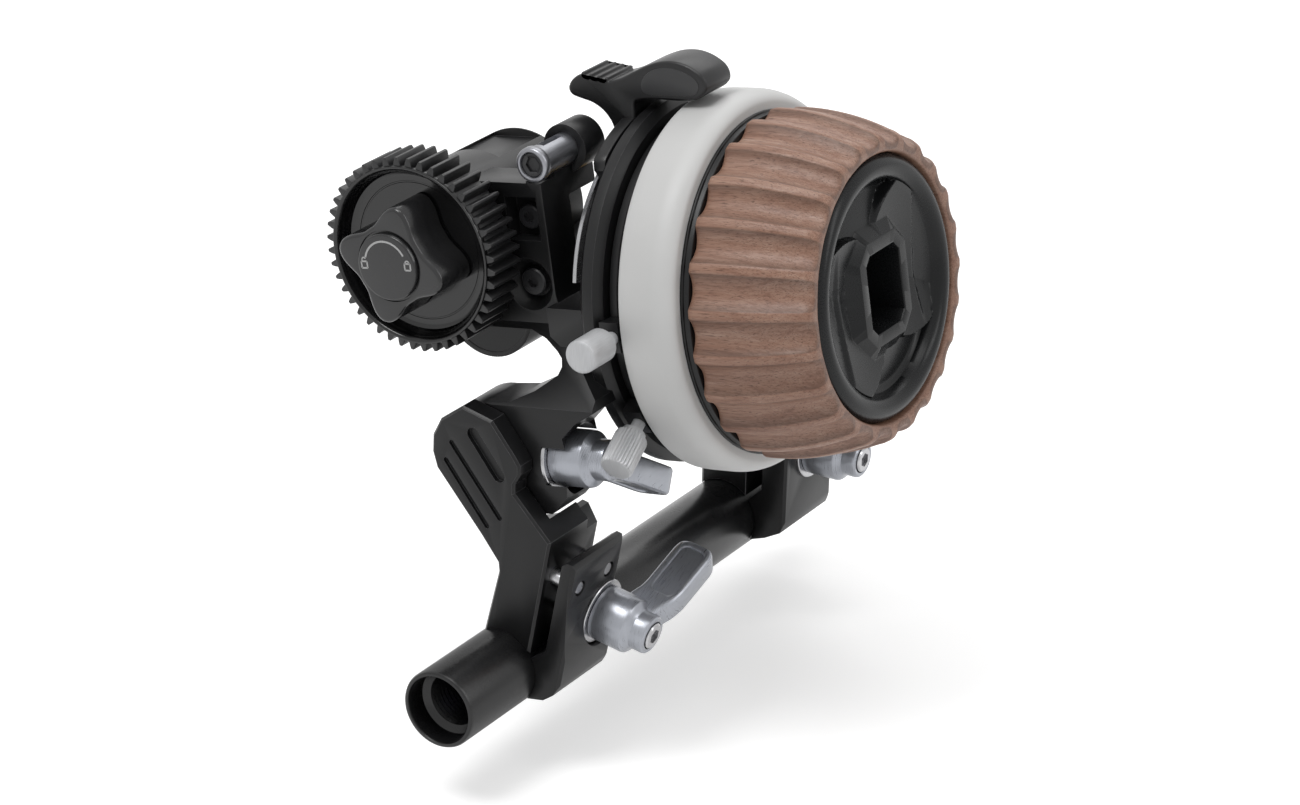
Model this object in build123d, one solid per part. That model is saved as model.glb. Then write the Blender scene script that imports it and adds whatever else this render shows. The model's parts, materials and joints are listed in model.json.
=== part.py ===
"""Follow focus unit: rod support, swing arm, gear head and fluted handwheel.

Millimetres, +Z up. The rod runs along +Y and its front end faces -Y. The gear head leans one way
about the rod direction and the swing arm leans the other way, so each has a frame of its own:
X across (towards the handwheel), Y along the rod, Z up, all measured from the rod axis at the
front end of the rod. The origin of the finished part is the mounting hole of the rear clamp.
"""

import os
from math import acos, asin, cos, degrees, hypot, pi, radians, sin, sqrt, tan

from build123d import *

os.makedirs("parts", exist_ok=True)

# ---------------------------------------------------------------- clearances
RUN = 0.06          # radial clearance of a running fit
SEAT = 0.02         # radial clearance of a seat inside one body
AIR = 0.35          # gap between pieces of different bodies

# ---------------------------------------------------------------- frames
HEAD_LEAN = 10.0    # degrees, gear head, wheel side up
ARM_LEAN = 10.0     # degrees, swing arm, top towards the gear side

# ---------------------------------------------------------------- rod
ROD_R = 7.5
ROD_LENGTH = 127.0
ROD_BORE_R = 5.1
ROD_MOUTH_R = 6.4
ROD_MOUTH_DEPTH = 4.0
ROD_BORE_DEPTH = 24.0

# ---------------------------------------------------------------- rod clamps
CLAMP_LENGTH = 16.8
FRONT_Y = 20.5
REAR_INSET = 27.0
REAR_Y = ROD_LENGTH - REAR_INSET
REAR_LENGTH = 18.5
LEG_LEFT = -4.9
LEG_RIGHT = 5.2
SLIT = 3.3
JAW_TOP = 27.0
FRONT_JAW = 2.7
REAR_JAW = 5.7
REAR_TOP = 35.0
REAR_LEFT = -5.4
PIN_R = 1.5
PIN_Z = 21.0
STUD_R = 3.0
STUD_Z = 12.2
FRONT_STUD = 13.0
REAR_STUD = 10.0
REAR_STUD_Z = 15.0
MOUNT_R = 3.175
MOUNT_DEPTH = 7.5
MOUNT_Z = 27.0

# ---------------------------------------------------------------- wing levers
LEVER_HUB_R = 5.3
LEVER_HUB = 11.6
LEVER_REACH = 21.0
LEVER_THICK = 5.3
WING_IN = 4.5
WING_OUT = 12.0
WASHER_R = 6.3
WASHER_T = 0.6
LEVER_SCREW_R = 1.55
LEVER_HEAD_R = 2.5
FRONT_LEVER_TURN = 23.0
REAR_LEVER_TURN = 97.0
HEAD_LEVER_TURN = -31.0

# ---------------------------------------------------------------- swing arm and pivot
PADDLE_T = 4.2
ARM_MID_T = 13.0
SWEEP_R = 16.5
PIVOT_R = 5.0
LOBE_R = 9.8
LOBE_T = 11.0

# ---------------------------------------------------------------- head positions (head frame)
PIVOT = (0.9, 40.4)
BRACKET_Y = 25.0
PLATE_Y = 36.5
PLATE_T = 8.5
BRACKET_RIGHT = 24.8
HEAD_LEVER_Y = 30.5
HEAD_LEVER_Z = 38.8
HEAD_LEVER_SEAT = 12.7
WHEEL_Z = 62.78
LEVER_ROOM = 1.7
DRIVE_X = -11.0
DRIVE_Z = 77.2

# ---------------------------------------------------------------- gears
MODULE = 0.8
DRIVE_TEETH = 44
SPUR_TEETH = 19
BEVEL_TEETH = 20
BACKLASH = 0.14
BEVEL_FACE = 3.2
SPUR_Y = 45.9
SPUR_WIDTH = 5.0
GEAR_Y = 26.0
GEAR_WIDTH = 8.5
DISH_R = 16.0
LOBES = 4
LOBE_IN = 7.7
LOBE_OUT = 11.3
LOBE_TURN = radians(16.0)
DISH_DEPTH = 3.2

# ---------------------------------------------------------------- shafts and bearings
WHEEL_SHAFT_R = 3.0
COUNTER_SHAFT_R = 2.0
DRIVE_SHAFT_R = 2.5
WHEEL_BEARING = (6.5, 3.8)
COUNTER_BEARING = (4.5, 2.5)
DRIVE_BEARING = (5.5, 3.4)
BARREL_R = 13.0
BARREL_END = 66.0

# ---------------------------------------------------------------- handwheel
RING_X = 30.1
RING_W = 10.9
RING_R = 35.1
RING_FRONT_R = RING_R - 2.5
DISC_X = 21.2
DISC_T = 4.4
DISC_R = RING_R - 0.9
GRIP_R = RING_R - 3.1
COLLAR_R = GRIP_R - 0.5
COLLAR_T = 1.5
CAP_R = GRIP_R - 7.5
GRIP_BORE_R = CAP_R - 2.5
RIM_BORE_R = CAP_R + 2.5
SPINDLE_R = 24.0
GRIP_END = 65.67
GRIP_CROWN_X = 44.8
GRIP_CROWN = 0.011
GRIP_CORNER = 3.35
FLUTES = 24
FLUTE_R = 4.6
FLUTE_DEPTH = 1.15
CAP_SEAT_X = 60.5
SOCKET_Y = 11.8
SOCKET_Z = 14.6
SOCKET_END = 56.0

# ---------------------------------------------------------------- hard stops and index lever
STOP_T = 1.7
STOP_OUT_R = DISC_R - 3.2
TAB_OUT_R = DISC_R + 0.6
TAB_HALF = 4.6
STOP_STEM_IN = STOP_OUT_R + 1.0
STOP_STEM_R = 1.2
STOP_HEAD_R = 3.1
STOP_HEAD_IN = RING_R + 2.9
STOP_HEAD_OUT = STOP_HEAD_IN + 7.6
STOP_X = 28.4
STOP_A_TURN = 0.0
STOP_B_TURN = 30.6
INDEX_X = 18.0
INDEX_SHIFT = 3.0
INDEX_HALF = 4.5
INDEX_OUT_R = DISC_R - 0.9
INDEX_SWEEP = 36.0
SPIGOT_R = INDEX_OUT_R - 5.8

# ---------------------------------------------------------------- release pin
RELEASE = (11.1, 91.9)
RELEASE_Y = 36.0
RELEASE_R = 2.9
RELEASE_LENGTH = 13.5
RELEASE_STROKE = 3.0
RELEASE_CUP_R = 4.5

# ---------------------------------------------------------------- derived sizes
BEARING_BACK = SPUR_Y + SPUR_WIDTH + 0.8
BEVEL_R = BEVEL_TEETH * MODULE / 2
BEVEL_FOOT = BEVEL_R + 1.25 * MODULE / sqrt(2)
COUNTER_HUB_Y = BEARING_BACK + COUNTER_BEARING[1] + 0.2
# the wheel axis keeps clear of the bevel gear in front and of the head lever below
WHEEL_Y = max(COUNTER_HUB_Y + 0.9 + BEVEL_FOOT,
              HEAD_LEVER_Y + sqrt((DISC_R + LEVER_HUB_R + LEVER_ROOM)**2 - (WHEEL_Z - HEAD_LEVER_Z)**2))
COVER_Y = WHEEL_Y + 12.0
SPUR_CENTRES = SPUR_TEETH * MODULE
COUNTER_X = DRIVE_X + sqrt(SPUR_CENTRES**2 - (DRIVE_Z - WHEEL_Z)**2)
RING_END = RING_X + RING_W
SPUR_TIP_R = SPUR_TEETH * MODULE / 2 + MODULE
RELEASE_FLOOR = RELEASE_Y + RELEASE_LENGTH + RELEASE_STROKE + 0.2
ORIGIN = (REAR_LEFT, REAR_Y + REAR_LENGTH / 2, MOUNT_Z)
LEAN = radians(HEAD_LEAN + ARM_LEAN)
PIVOT_ARM = (PIVOT[0] * cos(LEAN) - PIVOT[1] * sin(LEAN), PIVOT[0] * sin(LEAN) + PIVOT[1] * cos(LEAN))

HOME = Pos(-ORIGIN[0], -ORIGIN[1], -ORIGIN[2])
LEVEL = HOME
HEAD = HOME * Rot(0, -HEAD_LEAN, 0)
ARM = HOME * Rot(0, ARM_LEAN, 0)
BOTTOM = (Align.CENTER, Align.CENTER, Align.MIN)


# ---------------------------------------------------------------- helpers
def bar_y(r, y0, y1, x=0.0, z=0.0):
    """Round bar along Y."""
    return Pos(x, y0, z) * Rot(-90, 0, 0) * Cylinder(r, y1 - y0, align=BOTTOM)


def bar_x(r, x0, x1, y=0.0, z=0.0):
    """Round bar along X."""
    return Pos(x0, y, z) * Rot(0, 90, 0) * Cylinder(r, x1 - x0, align=BOTTOM)


def block(x0, x1, y0, y1, z0, z1):
    """Box between its limits."""
    middle = Pos((x0 + x1) / 2, (y0 + y1) / 2, (z0 + z1) / 2)
    return middle * Box(x1 - x0, y1 - y0, z1 - z0)


def flat(points, corner=0.0):
    """Flat outline, every corner rounded when asked."""
    face = make_face(Polyline(*points, close=True))
    if corner > 0:
        face = fillet(face.vertices(), corner)
    return face


def slab_y(face, y0, y1):
    """Outline in X and Z made into a plate from y0 to y1."""
    return extrude(Plane(origin=(0, y0, 0), x_dir=(1, 0, 0), z_dir=(0, -1, 0)) * face, amount=y0 - y1)


def slab_x(face, x0, x1):
    """Outline in Y and Z made into a plate from x0 to x1."""
    return extrude(Plane(origin=(x0, 0, 0), x_dir=(0, 1, 0), z_dir=(1, 0, 0)) * face, amount=x1 - x0)


def turn_x(points, y=0.0, z=0.0):
    """Turned piece about X from (x, radius) points."""
    return Pos(0, y, z) * revolve(flat(points), Axis.X, 360)


def turn_y(points, x=0.0, z=0.0):
    """Turned piece about Y from (y, radius) points."""
    return Pos(x, 0, z) * revolve(flat([(r, y) for y, r in points]), Axis.Y, 360)


def ring_y(r_out, r_in, y0, y1, x=0.0, z=0.0, edge=0.3):
    """Ring about Y with bevelled outer edges."""
    return turn_y([(y0, r_in), (y0, r_out - edge), (y0 + edge, r_out), (y1 - edge, r_out),
                   (y1, r_out - edge), (y1, r_in)], x, z)


def ring_x(r_out, r_in, x0, x1, y=0.0, z=0.0, edge=0.3):
    """Ring about X with bevelled outer edges."""
    return turn_x([(x0, r_in), (x0, r_out - edge), (x0 + edge, r_out), (x1 - edge, r_out),
                   (x1, r_out - edge), (x1, r_in)], y, z)


def hexagon(across, depth):
    """Hexagon socket cutter, upwards from zero."""
    return extrude(RegularPolygon(across / sqrt(3), 6), amount=depth)


def stadium(r, x0, z0, x1, z1):
    """Rounded outline round two centres."""
    length = hypot(x1 - x0, z1 - z0)
    nx = -(z1 - z0) / length * r
    nz = (x1 - x0) / length * r
    band = flat([(x0 + nx, z0 + nz), (x1 + nx, z1 + nz), (x1 - nx, z1 - nz), (x0 - nx, z0 - nz)])
    return band + Pos(x0, z0) * Circle(r) + Pos(x1, z1) * Circle(r)


def sector(r_in, r_out, middle, half, steps=6):
    """Ring sector outline in Y and Z; the angle is counted from -Y towards -Z."""
    angles = [radians(middle - half + 2 * half * i / steps) for i in range(steps + 1)]
    outer = [(-r_out * cos(a), -r_out * sin(a)) for a in angles]
    inner = [(-r_in * cos(a), -r_in * sin(a)) for a in reversed(angles)]
    return flat(outer + inner)


def save(name, pieces, frame):
    """Write one named piece, or one group of equal pieces."""
    if not isinstance(pieces, list):
        pieces = [pieces]
    placed = [frame * p for piece in pieces for p in piece.solids()]
    shape = placed[0] if len(placed) == 1 else Compound(children=placed)
    export_step(shape, f"parts/{name}.step")


# ---------------------------------------------------------------- gear teeth
def involute(angle):
    """Involute function."""
    return tan(angle) - angle


def half_angle(radius, pitch_r, teeth):
    """Half the angle a tooth covers at a radius, thinned for backlash."""
    base = pitch_r * cos(radians(20))
    at = acos(min(1.0, base / radius))
    at_pitch = pi / (2 * teeth) - BACKLASH / 4 / pitch_r
    return at_pitch + involute(radians(20)) - involute(at)


def gear_face(teeth, phase):
    """Outline of a spur gear; one tooth is centred on the phase angle."""
    pitch_r = teeth * MODULE / 2
    root = pitch_r - 1.25 * MODULE
    base = pitch_r * cos(radians(20))
    tip = pitch_r + MODULE
    radii = [root, max(base, root + 0.2), pitch_r, (pitch_r + tip) / 2, tip]
    points = []
    for i in range(teeth):
        middle = phase + 2 * pi * i / teeth
        flank = [(r, half_angle(r, pitch_r, teeth)) for r in radii]
        for r, half in flank:
            points.append((r * cos(middle - half), r * sin(middle - half)))
        for r, half in reversed(flank):
            points.append((r * cos(middle + half), r * sin(middle + half)))
    return flat(points)


def bevel_gear(phase, bore, hub_r, hub):
    """Straight bevel gear for a right angle, apex at the origin, body towards +Z."""
    wide = BEVEL_R * sqrt(2)
    virtual_teeth = BEVEL_TEETH * sqrt(2)
    base = wide * cos(radians(20))
    heights = [-1.25 * MODULE, max(base - wide, -1.1 * MODULE), 0.0, 0.5 * MODULE, MODULE]

    def section(at):
        points = []
        for i in range(BEVEL_TEETH):
            middle = phase + 2 * pi * i / BEVEL_TEETH
            flank = []
            for h in heights:
                real_r = BEVEL_R + h / sqrt(2)
                real_a = BEVEL_R - h / sqrt(2)
                half = half_angle(wide + h, wide, virtual_teeth) * (wide + h) / real_r
                flank.append((at * real_r / real_a, half))
            for r, half in flank:
                points.append((r * cos(middle - half), r * sin(middle - half)))
            for r, half in reversed(flank):
                points.append((r * cos(middle + half), r * sin(middle + half)))
        return Pos(0, 0, at) * flat(points)

    near = 1 - BEVEL_FACE / wide
    tip = (BEVEL_R + MODULE / sqrt(2), BEVEL_R - MODULE / sqrt(2))
    foot = (BEVEL_R - 1.25 * MODULE / sqrt(2), BEVEL_R + 1.25 * MODULE / sqrt(2))
    cone = loft([section(near * tip[1] - 0.1), section(foot[1] + 0.1)], ruled=True)
    profile = Plane.XZ * flat([(near * tip[0], near * tip[1]), tip, foot, (bore, foot[1]),
                               (bore, near * foot[1]), (near * foot[0], near * foot[1])])
    body = cone & revolve(profile, Axis.Z, 360)
    neck = Pos(0, 0, foot[1]) * Cylinder(hub_r, hub, align=BOTTOM)
    neck -= Pos(0, 0, foot[1] - 1) * Cylinder(bore, hub + 2, align=BOTTOM)
    return body + neck


# ---------------------------------------------------------------- rod
def support_rod():
    """15 mm rod with a threaded bore and a wide mouth at both ends."""
    rim = 0.5
    rod = turn_y([(0, 0), (0, ROD_R - rim), (rim, ROD_R), (ROD_LENGTH - rim, ROD_R),
                  (ROD_LENGTH, ROD_R - rim), (ROD_LENGTH, 0)])
    for near, way in ((0.0, 1), (ROD_LENGTH, -1)):
        mouth = [(near - way, 0), (near - way, ROD_MOUTH_R), (near + way * ROD_MOUTH_DEPTH, ROD_MOUTH_R),
                 (near + way * (ROD_MOUTH_DEPTH + 1), ROD_BORE_R),
                 (near + way * ROD_BORE_DEPTH, ROD_BORE_R),
                 (near + way * (ROD_BORE_DEPTH + 2.5), 0)]
        rod -= turn_y(mouth)
    return rod


# ---------------------------------------------------------------- clamp pieces
def jaw(y0, length, thick, stud_y, stud_z):
    """Loose clamp jaw that hooks round the right side of the rod."""
    left = LEG_RIGHT + SLIT
    right = left + thick
    bulge = max(right, 12.6)
    outline = flat([(left, JAW_TOP - 1), (left + 1, JAW_TOP), (right - 0.6, JAW_TOP), (right, JAW_TOP - 1),
                    (right, 17.5), (bulge, 7.0), (bulge, 1.8), (bulge - 0.9, -0.6), (9.9, -2.5),
                    (6.6, -3.7), (5.0, -3.0), (5.0, 4.0), (left, 7.5)])
    piece = slab_y(outline, y0, y0 + length)
    piece -= bar_y(ROD_R + RUN, y0 - 1, y0 + length + 1)
    piece -= bar_x(STUD_R + RUN, 0, 20, stud_y, stud_z)
    piece -= bar_x(WASHER_R + AIR, right, 20, stud_y, stud_z)
    for y in pin_places(y0, length):
        piece -= bar_x(PIN_R + RUN, 0, 20, y, PIN_Z)
    return chamfer(piece.edges().filter_by(Axis.Z).sort_by(Axis.X)[-4:], 0.5)


def pin_places(y0, length):
    """Y positions of the two guide pins of a clamp."""
    return (y0 + 3.6, y0 + length - 3.6)


def guide_pins(y0, length, outer):
    """Two pins fixed in the leg; the jaw slides on them."""
    return [turn_x([(1, 0), (1, PIN_R), (outer - 0.6, PIN_R), (outer - 0.2, PIN_R - 0.4),
                    (outer - 0.2, 0)], y, PIN_Z) for y in pin_places(y0, length)]


def cut_leg(leg, y0, length, stud_y, stud_z):
    """Rod seat, stud bore and pin bores of a clamp leg."""
    leg -= bar_y(ROD_R + RUN, y0 - 1, y0 + length + 1)
    leg -= bar_x(STUD_R + RUN, -30, 20, stud_y, stud_z)
    for y in pin_places(y0, length):
        leg -= bar_x(PIN_R + SEAT, 1, 20, y, PIN_Z)
    return leg


# ---------------------------------------------------------------- lever set, stud axis along X
def lever_wing(turn):
    """Hub and wing of a clamping lever; the wing starts towards +Y and is turned about X."""
    hub = turn_x([(WASHER_T, 0), (WASHER_T, LEVER_HUB_R - 0.3), (WASHER_T + 0.4, LEVER_HUB_R),
                  (4.2, LEVER_HUB_R), (LEVER_HUB - 1.2, LEVER_HUB_R - 0.3),
                  (LEVER_HUB, LEVER_HUB_R - 1.3), (LEVER_HUB, 0)])
    outline = [(WING_IN + 0.6, 0), (WING_IN, 7.5), (WING_IN, LEVER_REACH - 2.2),
               (WING_IN + 1.2, LEVER_REACH - 0.3), (WING_IN + 2.4, LEVER_REACH),
               (WING_OUT - 1.4, LEVER_REACH), (WING_OUT, LEVER_REACH - 1.6), (WING_OUT, 6.6),
               (WING_OUT - 0.6, 0)]
    wing = Pos(0, 0, -LEVER_THICK / 2) * extrude(flat(outline), amount=LEVER_THICK)
    wing = chamfer(wing.edges().group_by(Axis.Z)[-1] + wing.edges().group_by(Axis.Z)[0], 0.6)
    body = hub + wing
    body -= bar_x(STUD_R, -1, 8.4)
    body -= bar_x(LEVER_SCREW_R + SEAT, 8, 12.5)
    body -= bar_x(LEVER_HEAD_R + SEAT, LEVER_HUB - 1.3, 14)
    return Rot(turn, 0, 0) * body


def lever_stud(length):
    """Threaded stud of a clamping lever, reaching inwards by its length."""
    return turn_x([(-length, 0), (-length, STUD_R - 0.6), (-length + 0.6, STUD_R),
                   (6.3, STUD_R), (6.3, 0)])


def lever_screw():
    """Centre screw that holds the lever on its stud."""
    top = LEVER_HUB + 0.4
    screw = turn_x([(6.4, 0), (6.4, LEVER_SCREW_R), (LEVER_HUB - 1.3, LEVER_SCREW_R),
                    (LEVER_HUB - 1.3, LEVER_HEAD_R), (top - 0.3, LEVER_HEAD_R), (top, LEVER_HEAD_R - 0.3),
                    (top, 0)])
    return screw - Pos(top - 1.1, 0, 0) * Rot(0, 90, 0) * hexagon(2.5, 2)


def lever_washer():
    """Thin bright washer under the lever hub."""
    return turn_x([(0, STUD_R + RUN), (0, WASHER_R), (WASHER_T - 0.15, WASHER_R),
                   (WASHER_T, WASHER_R - 0.15), (WASHER_T, STUD_R + RUN)])


def save_lever(prefix, face_x, y, z, turn, stud, frame):
    """Write the pieces of one lever set."""
    at = Pos(face_x, y, z)
    save(f"{prefix}_lever", at * lever_wing(turn), frame)
    save(f"{prefix}_lever_stud", at * lever_stud(stud), frame)
    save(f"{prefix}_lever_screw", at * lever_screw(), frame)
    save(f"{prefix}_lever_washer", at * lever_washer(), frame)


# ---------------------------------------------------------------- swing arm
ARM_OUTLINE = [(-17.6, 47.8), (-21.6, 43.4), (-22.7, 39.6), (-22.2, 36.2), (-20.7, 33.4), (-9.1, 24.3),
               (-4.7, 20.5), (-4.2, 18.8), (LEG_LEFT, 6.0), (LEG_LEFT, 0.0), (LEG_RIGHT, 0.0),
               (LEG_RIGHT, 29.2), (-3.9, 35.5), (-4.2, 37.3), (-3.4, 39.6), (-3.8, 41.3), (-5.1, 42.6),
               (-11.1, 47.6)]


def swing_arm():
    """Arm with the fixed clamp leg below and the pivot paddle above."""
    y0 = FRONT_Y
    outline = flat(ARM_OUTLINE)
    arm = slab_y(outline, y0, y0 + PADDLE_T)
    arm = chamfer(arm.edges().group_by(Axis.Y)[0], 0.45)
    thick = slab_y(outline, y0 + PADDLE_T, y0 + ARM_MID_T)
    foot = slab_y(flat([(LEG_LEFT, 0), (-4.2, 18.8), (-4.7, 20.5), (-6, 26), (-2, 30), (2.6, 30),
                        (LEG_RIGHT, 27), (LEG_RIGHT, 0)]), y0 + PADDLE_T, y0 + CLAMP_LENGTH)
    clear = bar_y(SWEEP_R, y0 + PADDLE_T, y0 + 40, PIVOT_ARM[0], PIVOT_ARM[1])
    arm += (thick - clear) + (foot - clear)
    arm -= bar_y(PIVOT_R + SEAT, y0 + 1.3, y0 + 20, PIVOT_ARM[0], PIVOT_ARM[1])
    arm = cut_leg(arm, y0, CLAMP_LENGTH, y0 + FRONT_STUD, STUD_Z)
    for ax, az, bx, bz, r, deep in ((-14.3, 43.4, -7.6, 37.7, 1.3, 1.0), (-18.4, 39.8, -5.9, 29.5, 0.55, 0.7),
                                    (-18.9, 35.9, -8.2, 26.8, 0.55, 0.7)):
        arm -= slab_y(stadium(r, ax, az, bx, bz), y0 - 1, y0 + deep)
    return arm


def pivot_shaft():
    """Pivot pin pressed into the paddle; the head turns on it."""
    y1 = BRACKET_Y + LOBE_T + AIR
    pin = turn_y([(FRONT_Y + 1.4, 0), (FRONT_Y + 1.4, PIVOT_R - 0.4), (FRONT_Y + 1.8, PIVOT_R),
                  (y1, PIVOT_R), (y1, 0)], *PIVOT_ARM)
    return pin - bar_y(1.55, y1 - 8, y1 + 1, *PIVOT_ARM)


def pivot_washer():
    """Washer that keeps the head on the pivot."""
    y1 = BRACKET_Y + LOBE_T + AIR
    return ring_y(6.9, 1.6, y1, y1 + 1.2, *PIVOT_ARM)


def pivot_screw():
    """Screw in the end of the pivot pin."""
    y1 = BRACKET_Y + LOBE_T + AIR + 1.2
    screw = turn_y([(y1 - 7.5, 0), (y1 - 7.5, 1.5), (y1, 1.5), (y1, 2.9), (y1 + 1.9, 2.9), (y1 + 2.2, 2.6),
                    (y1 + 2.2, 0)], *PIVOT_ARM)
    return screw - Pos(PIVOT_ARM[0], y1 + 1, PIVOT_ARM[1]) * Rot(-90, 0, 0) * hexagon(2.5, 2)


# ---------------------------------------------------------------- head castings
BRACKET_OUTLINE = [(8.5, 31.2), (9.4, 29.5), (13.2, 29.6), (16.9, 33.1), (18.0, 40.2), (17.5, 44.4),
                   (20.6, 47.3), (BRACKET_RIGHT, 49.6), (BRACKET_RIGHT, 51.6), (16.6, 58.6),
                   (12.9, 64.0), (12.3, 67.6), (12.3, 84.0), (12.3, 88.4), (7.4, 88.4), (-4.0, 88.4),
                   (-4.0, 61.0), (6.7, 61.0), (10.5, 59.8), (13.7, 58.1), (15.0, 57.2), (15.6, 56.0),
                   (15.3, 54.8), (11.6, 52.4), (6.5, 50.4), (0.9, 50.1), (-4.0, 48.0), (-4.0, 33.0),
                   (0.9, 31.0)]


def case_room(extra):
    """Outside of the gear case, for cutting room in the bracket."""
    room = bar_y(BARREL_R + extra, PLATE_Y - 1, BARREL_END + 1, DRIVE_X, DRIVE_Z)
    room += slab_y(stadium(9.7 + extra, DRIVE_X, DRIVE_Z, COUNTER_X, WHEEL_Z), 40.5, 57)
    room += bar_x(10.4 + extra, COUNTER_X - 8, 6.6, WHEEL_Y, WHEEL_Z)
    return room + bar_x(9.0 + extra, 6, 17, WHEEL_Y, WHEEL_Z)


def main_bracket():
    """Curved bracket with the pivot lobe, the front plate and the disc behind the handwheel."""
    top = 88.4
    side = [(BRACKET_Y, 26), (BRACKET_Y, 50), (PLATE_Y, 62), (PLATE_Y, top + 1),
            (PLATE_Y + PLATE_T, top + 1), (PLATE_Y + PLATE_T, 60), (BRACKET_Y + LOBE_T, 50),
            (BRACKET_Y + LOBE_T, 26)]
    plate = slab_y(flat(BRACKET_OUTLINE), 20, 60) & slab_x(flat(side), -30, 30)
    body = plate + bar_y(LOBE_R, BRACKET_Y, BRACKET_Y + LOBE_T, *PIVOT)
    web = flat([(12.0, 60.6), (16.0, 57.0), (BRACKET_RIGHT, 50.0), (BRACKET_RIGHT, 66.0), (12.0, 66.0)])
    body += slab_y(web, 33.5, 52)
    disc_end = DISC_X + DISC_T
    body += turn_x([(DISC_X, 0), (DISC_X, DISC_R - 1.0), (DISC_X + 1.0, DISC_R), (disc_end - 1.3, DISC_R),
                    (disc_end, DISC_R - 1.5), (disc_end, SPINDLE_R), (RING_X - AIR, SPINDLE_R),
                    (RING_X - AIR, 0)], WHEEL_Y, WHEEL_Z)
    body += bar_x(SPIGOT_R, INDEX_X - 0.4, DISC_X, WHEEL_Y, WHEEL_Z)
    body += bar_x(12.5, 12, INDEX_X, WHEEL_Y, WHEEL_Z)
    body += block(9.2, 12.3, PLATE_Y, RELEASE_FLOOR + 1, 84, RELEASE[1] - 0.5)
    body += bar_y(RELEASE_CUP_R, RELEASE_FLOOR - 5.5, RELEASE_FLOOR + 1, *RELEASE)
    body -= bar_y(RELEASE_R + RUN, 30, RELEASE_FLOOR, *RELEASE)
    body -= bar_y(3.3 + AIR, 30, RELEASE_Y + 2.0 + RELEASE_STROKE + AIR, *RELEASE)
    body -= bar_y(PIVOT_R + RUN, 20, 40, *PIVOT)
    body -= bar_x(3.05, 0.9, 30, HEAD_LEVER_Y, HEAD_LEVER_Z)
    body -= bar_x(6.6, HEAD_LEVER_SEAT, 30, HEAD_LEVER_Y, HEAD_LEVER_Z)
    body -= bar_x(WHEEL_SHAFT_R + 0.6, 0, 40, WHEEL_Y, WHEEL_Z)
    body -= bar_x(WHEEL_BEARING[0] + SEAT, RING_X - AIR - WHEEL_BEARING[1] - 0.1, 40, WHEEL_Y, WHEEL_Z)
    body -= bar_x(WHEEL_BEARING[0] + SEAT, 5, 13.6 + WHEEL_BEARING[1], WHEEL_Y, WHEEL_Z)
    body -= bar_x(9.0 + SEAT, 5, 13.5, WHEEL_Y, WHEEL_Z)
    body -= case_room(SEAT)
    pocket = block(4.0, 10.8, 30, PLATE_Y + 3.6, 77.6, 85.8)
    body -= pocket
    body -= turn_y([(30, 5.2), (PLATE_Y, 5.0), (PLATE_Y + 2.6, 3.0), (PLATE_Y + 2.6, 0), (30, 0)], 6.9, 69.3)
    body -= bar_y(1.6, 30, 44, 6.9, 69.3)
    body -= bar_y(1.55, 30, PLATE_Y + PLATE_T + 1, 7.4, 81.4)
    arc = turn_x([(15, DISC_R + 9), (15, DISC_R + 0.4), (DISC_X - 0.01, DISC_R + 0.4),
                  (DISC_X - 0.01, DISC_R + 9)], WHEEL_Y, WHEEL_Z)
    body -= arc & block(10, 30, WHEEL_Y - 4, WHEEL_Y + 50, 0, 140)
    return body


def gearcase():
    """Case for the bevel pair and the spur pair, with the round drive barrel."""
    case = turn_y([(PLATE_Y, 0), (PLATE_Y, BARREL_R - 0.8), (PLATE_Y + 0.8, BARREL_R),
                   (BARREL_END - 2.2, BARREL_R), (BARREL_END, BARREL_R - 2.4), (BARREL_END, 0)],
                  DRIVE_X, DRIVE_Z)
    case += slab_y(stadium(9.7, DRIVE_X, DRIVE_Z, COUNTER_X, WHEEL_Z), 40.7, 56.5)
    case += bar_x(10.4, COUNTER_X - 7, 6.5, WHEEL_Y, WHEEL_Z)
    case += bar_x(9.0, 6, 13.4, WHEEL_Y, WHEEL_Z)
    case += bar_y(8.6, WHEEL_Y, COVER_Y, COUNTER_X + 4, WHEEL_Z)
    # spur pocket, closed in front by the bearing plate
    case -= slab_y(stadium(SPUR_TIP_R + AIR, DRIVE_X, DRIVE_Z, COUNTER_X, WHEEL_Z), 40, BEARING_BACK)
    case -= bar_y(10.0, PLATE_Y - 1, 40.8, DRIVE_X, DRIVE_Z)
    case -= bar_y(DRIVE_BEARING[0] + SEAT, 50, BEARING_BACK + DRIVE_BEARING[1], DRIVE_X, DRIVE_Z)
    case -= bar_y(DRIVE_SHAFT_R + 0.5, 50, 61, DRIVE_X, DRIVE_Z)
    case -= bar_y(COUNTER_BEARING[0] + SEAT, 50, BEARING_BACK + COUNTER_BEARING[1], COUNTER_X, WHEEL_Z)
    # bevel pocket and the opening under the rear cover
    room = BEVEL_R + MODULE / sqrt(2) + AIR
    case -= bar_y(room, BEARING_BACK + COUNTER_BEARING[1], WHEEL_Y - 3, COUNTER_X, WHEEL_Z)
    case -= bar_x(room, COUNTER_X + 4.8, COUNTER_X + 12.3, WHEEL_Y, WHEEL_Z)
    case -= bar_y(6.6, WHEEL_Y - 4, COVER_Y + 1, COUNTER_X + 4, WHEEL_Z)
    case -= bar_x(WHEEL_SHAFT_R + 0.8, 0, 20, WHEEL_Y, WHEEL_Z)
    # badge recess on the top of the barrel
    top = DRIVE_Z + BARREL_R
    case -= block(DRIVE_X - 4.8, DRIVE_X + 5.6, 49.5, 63.5, top - 1.6, top + 2)
    return case


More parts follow.
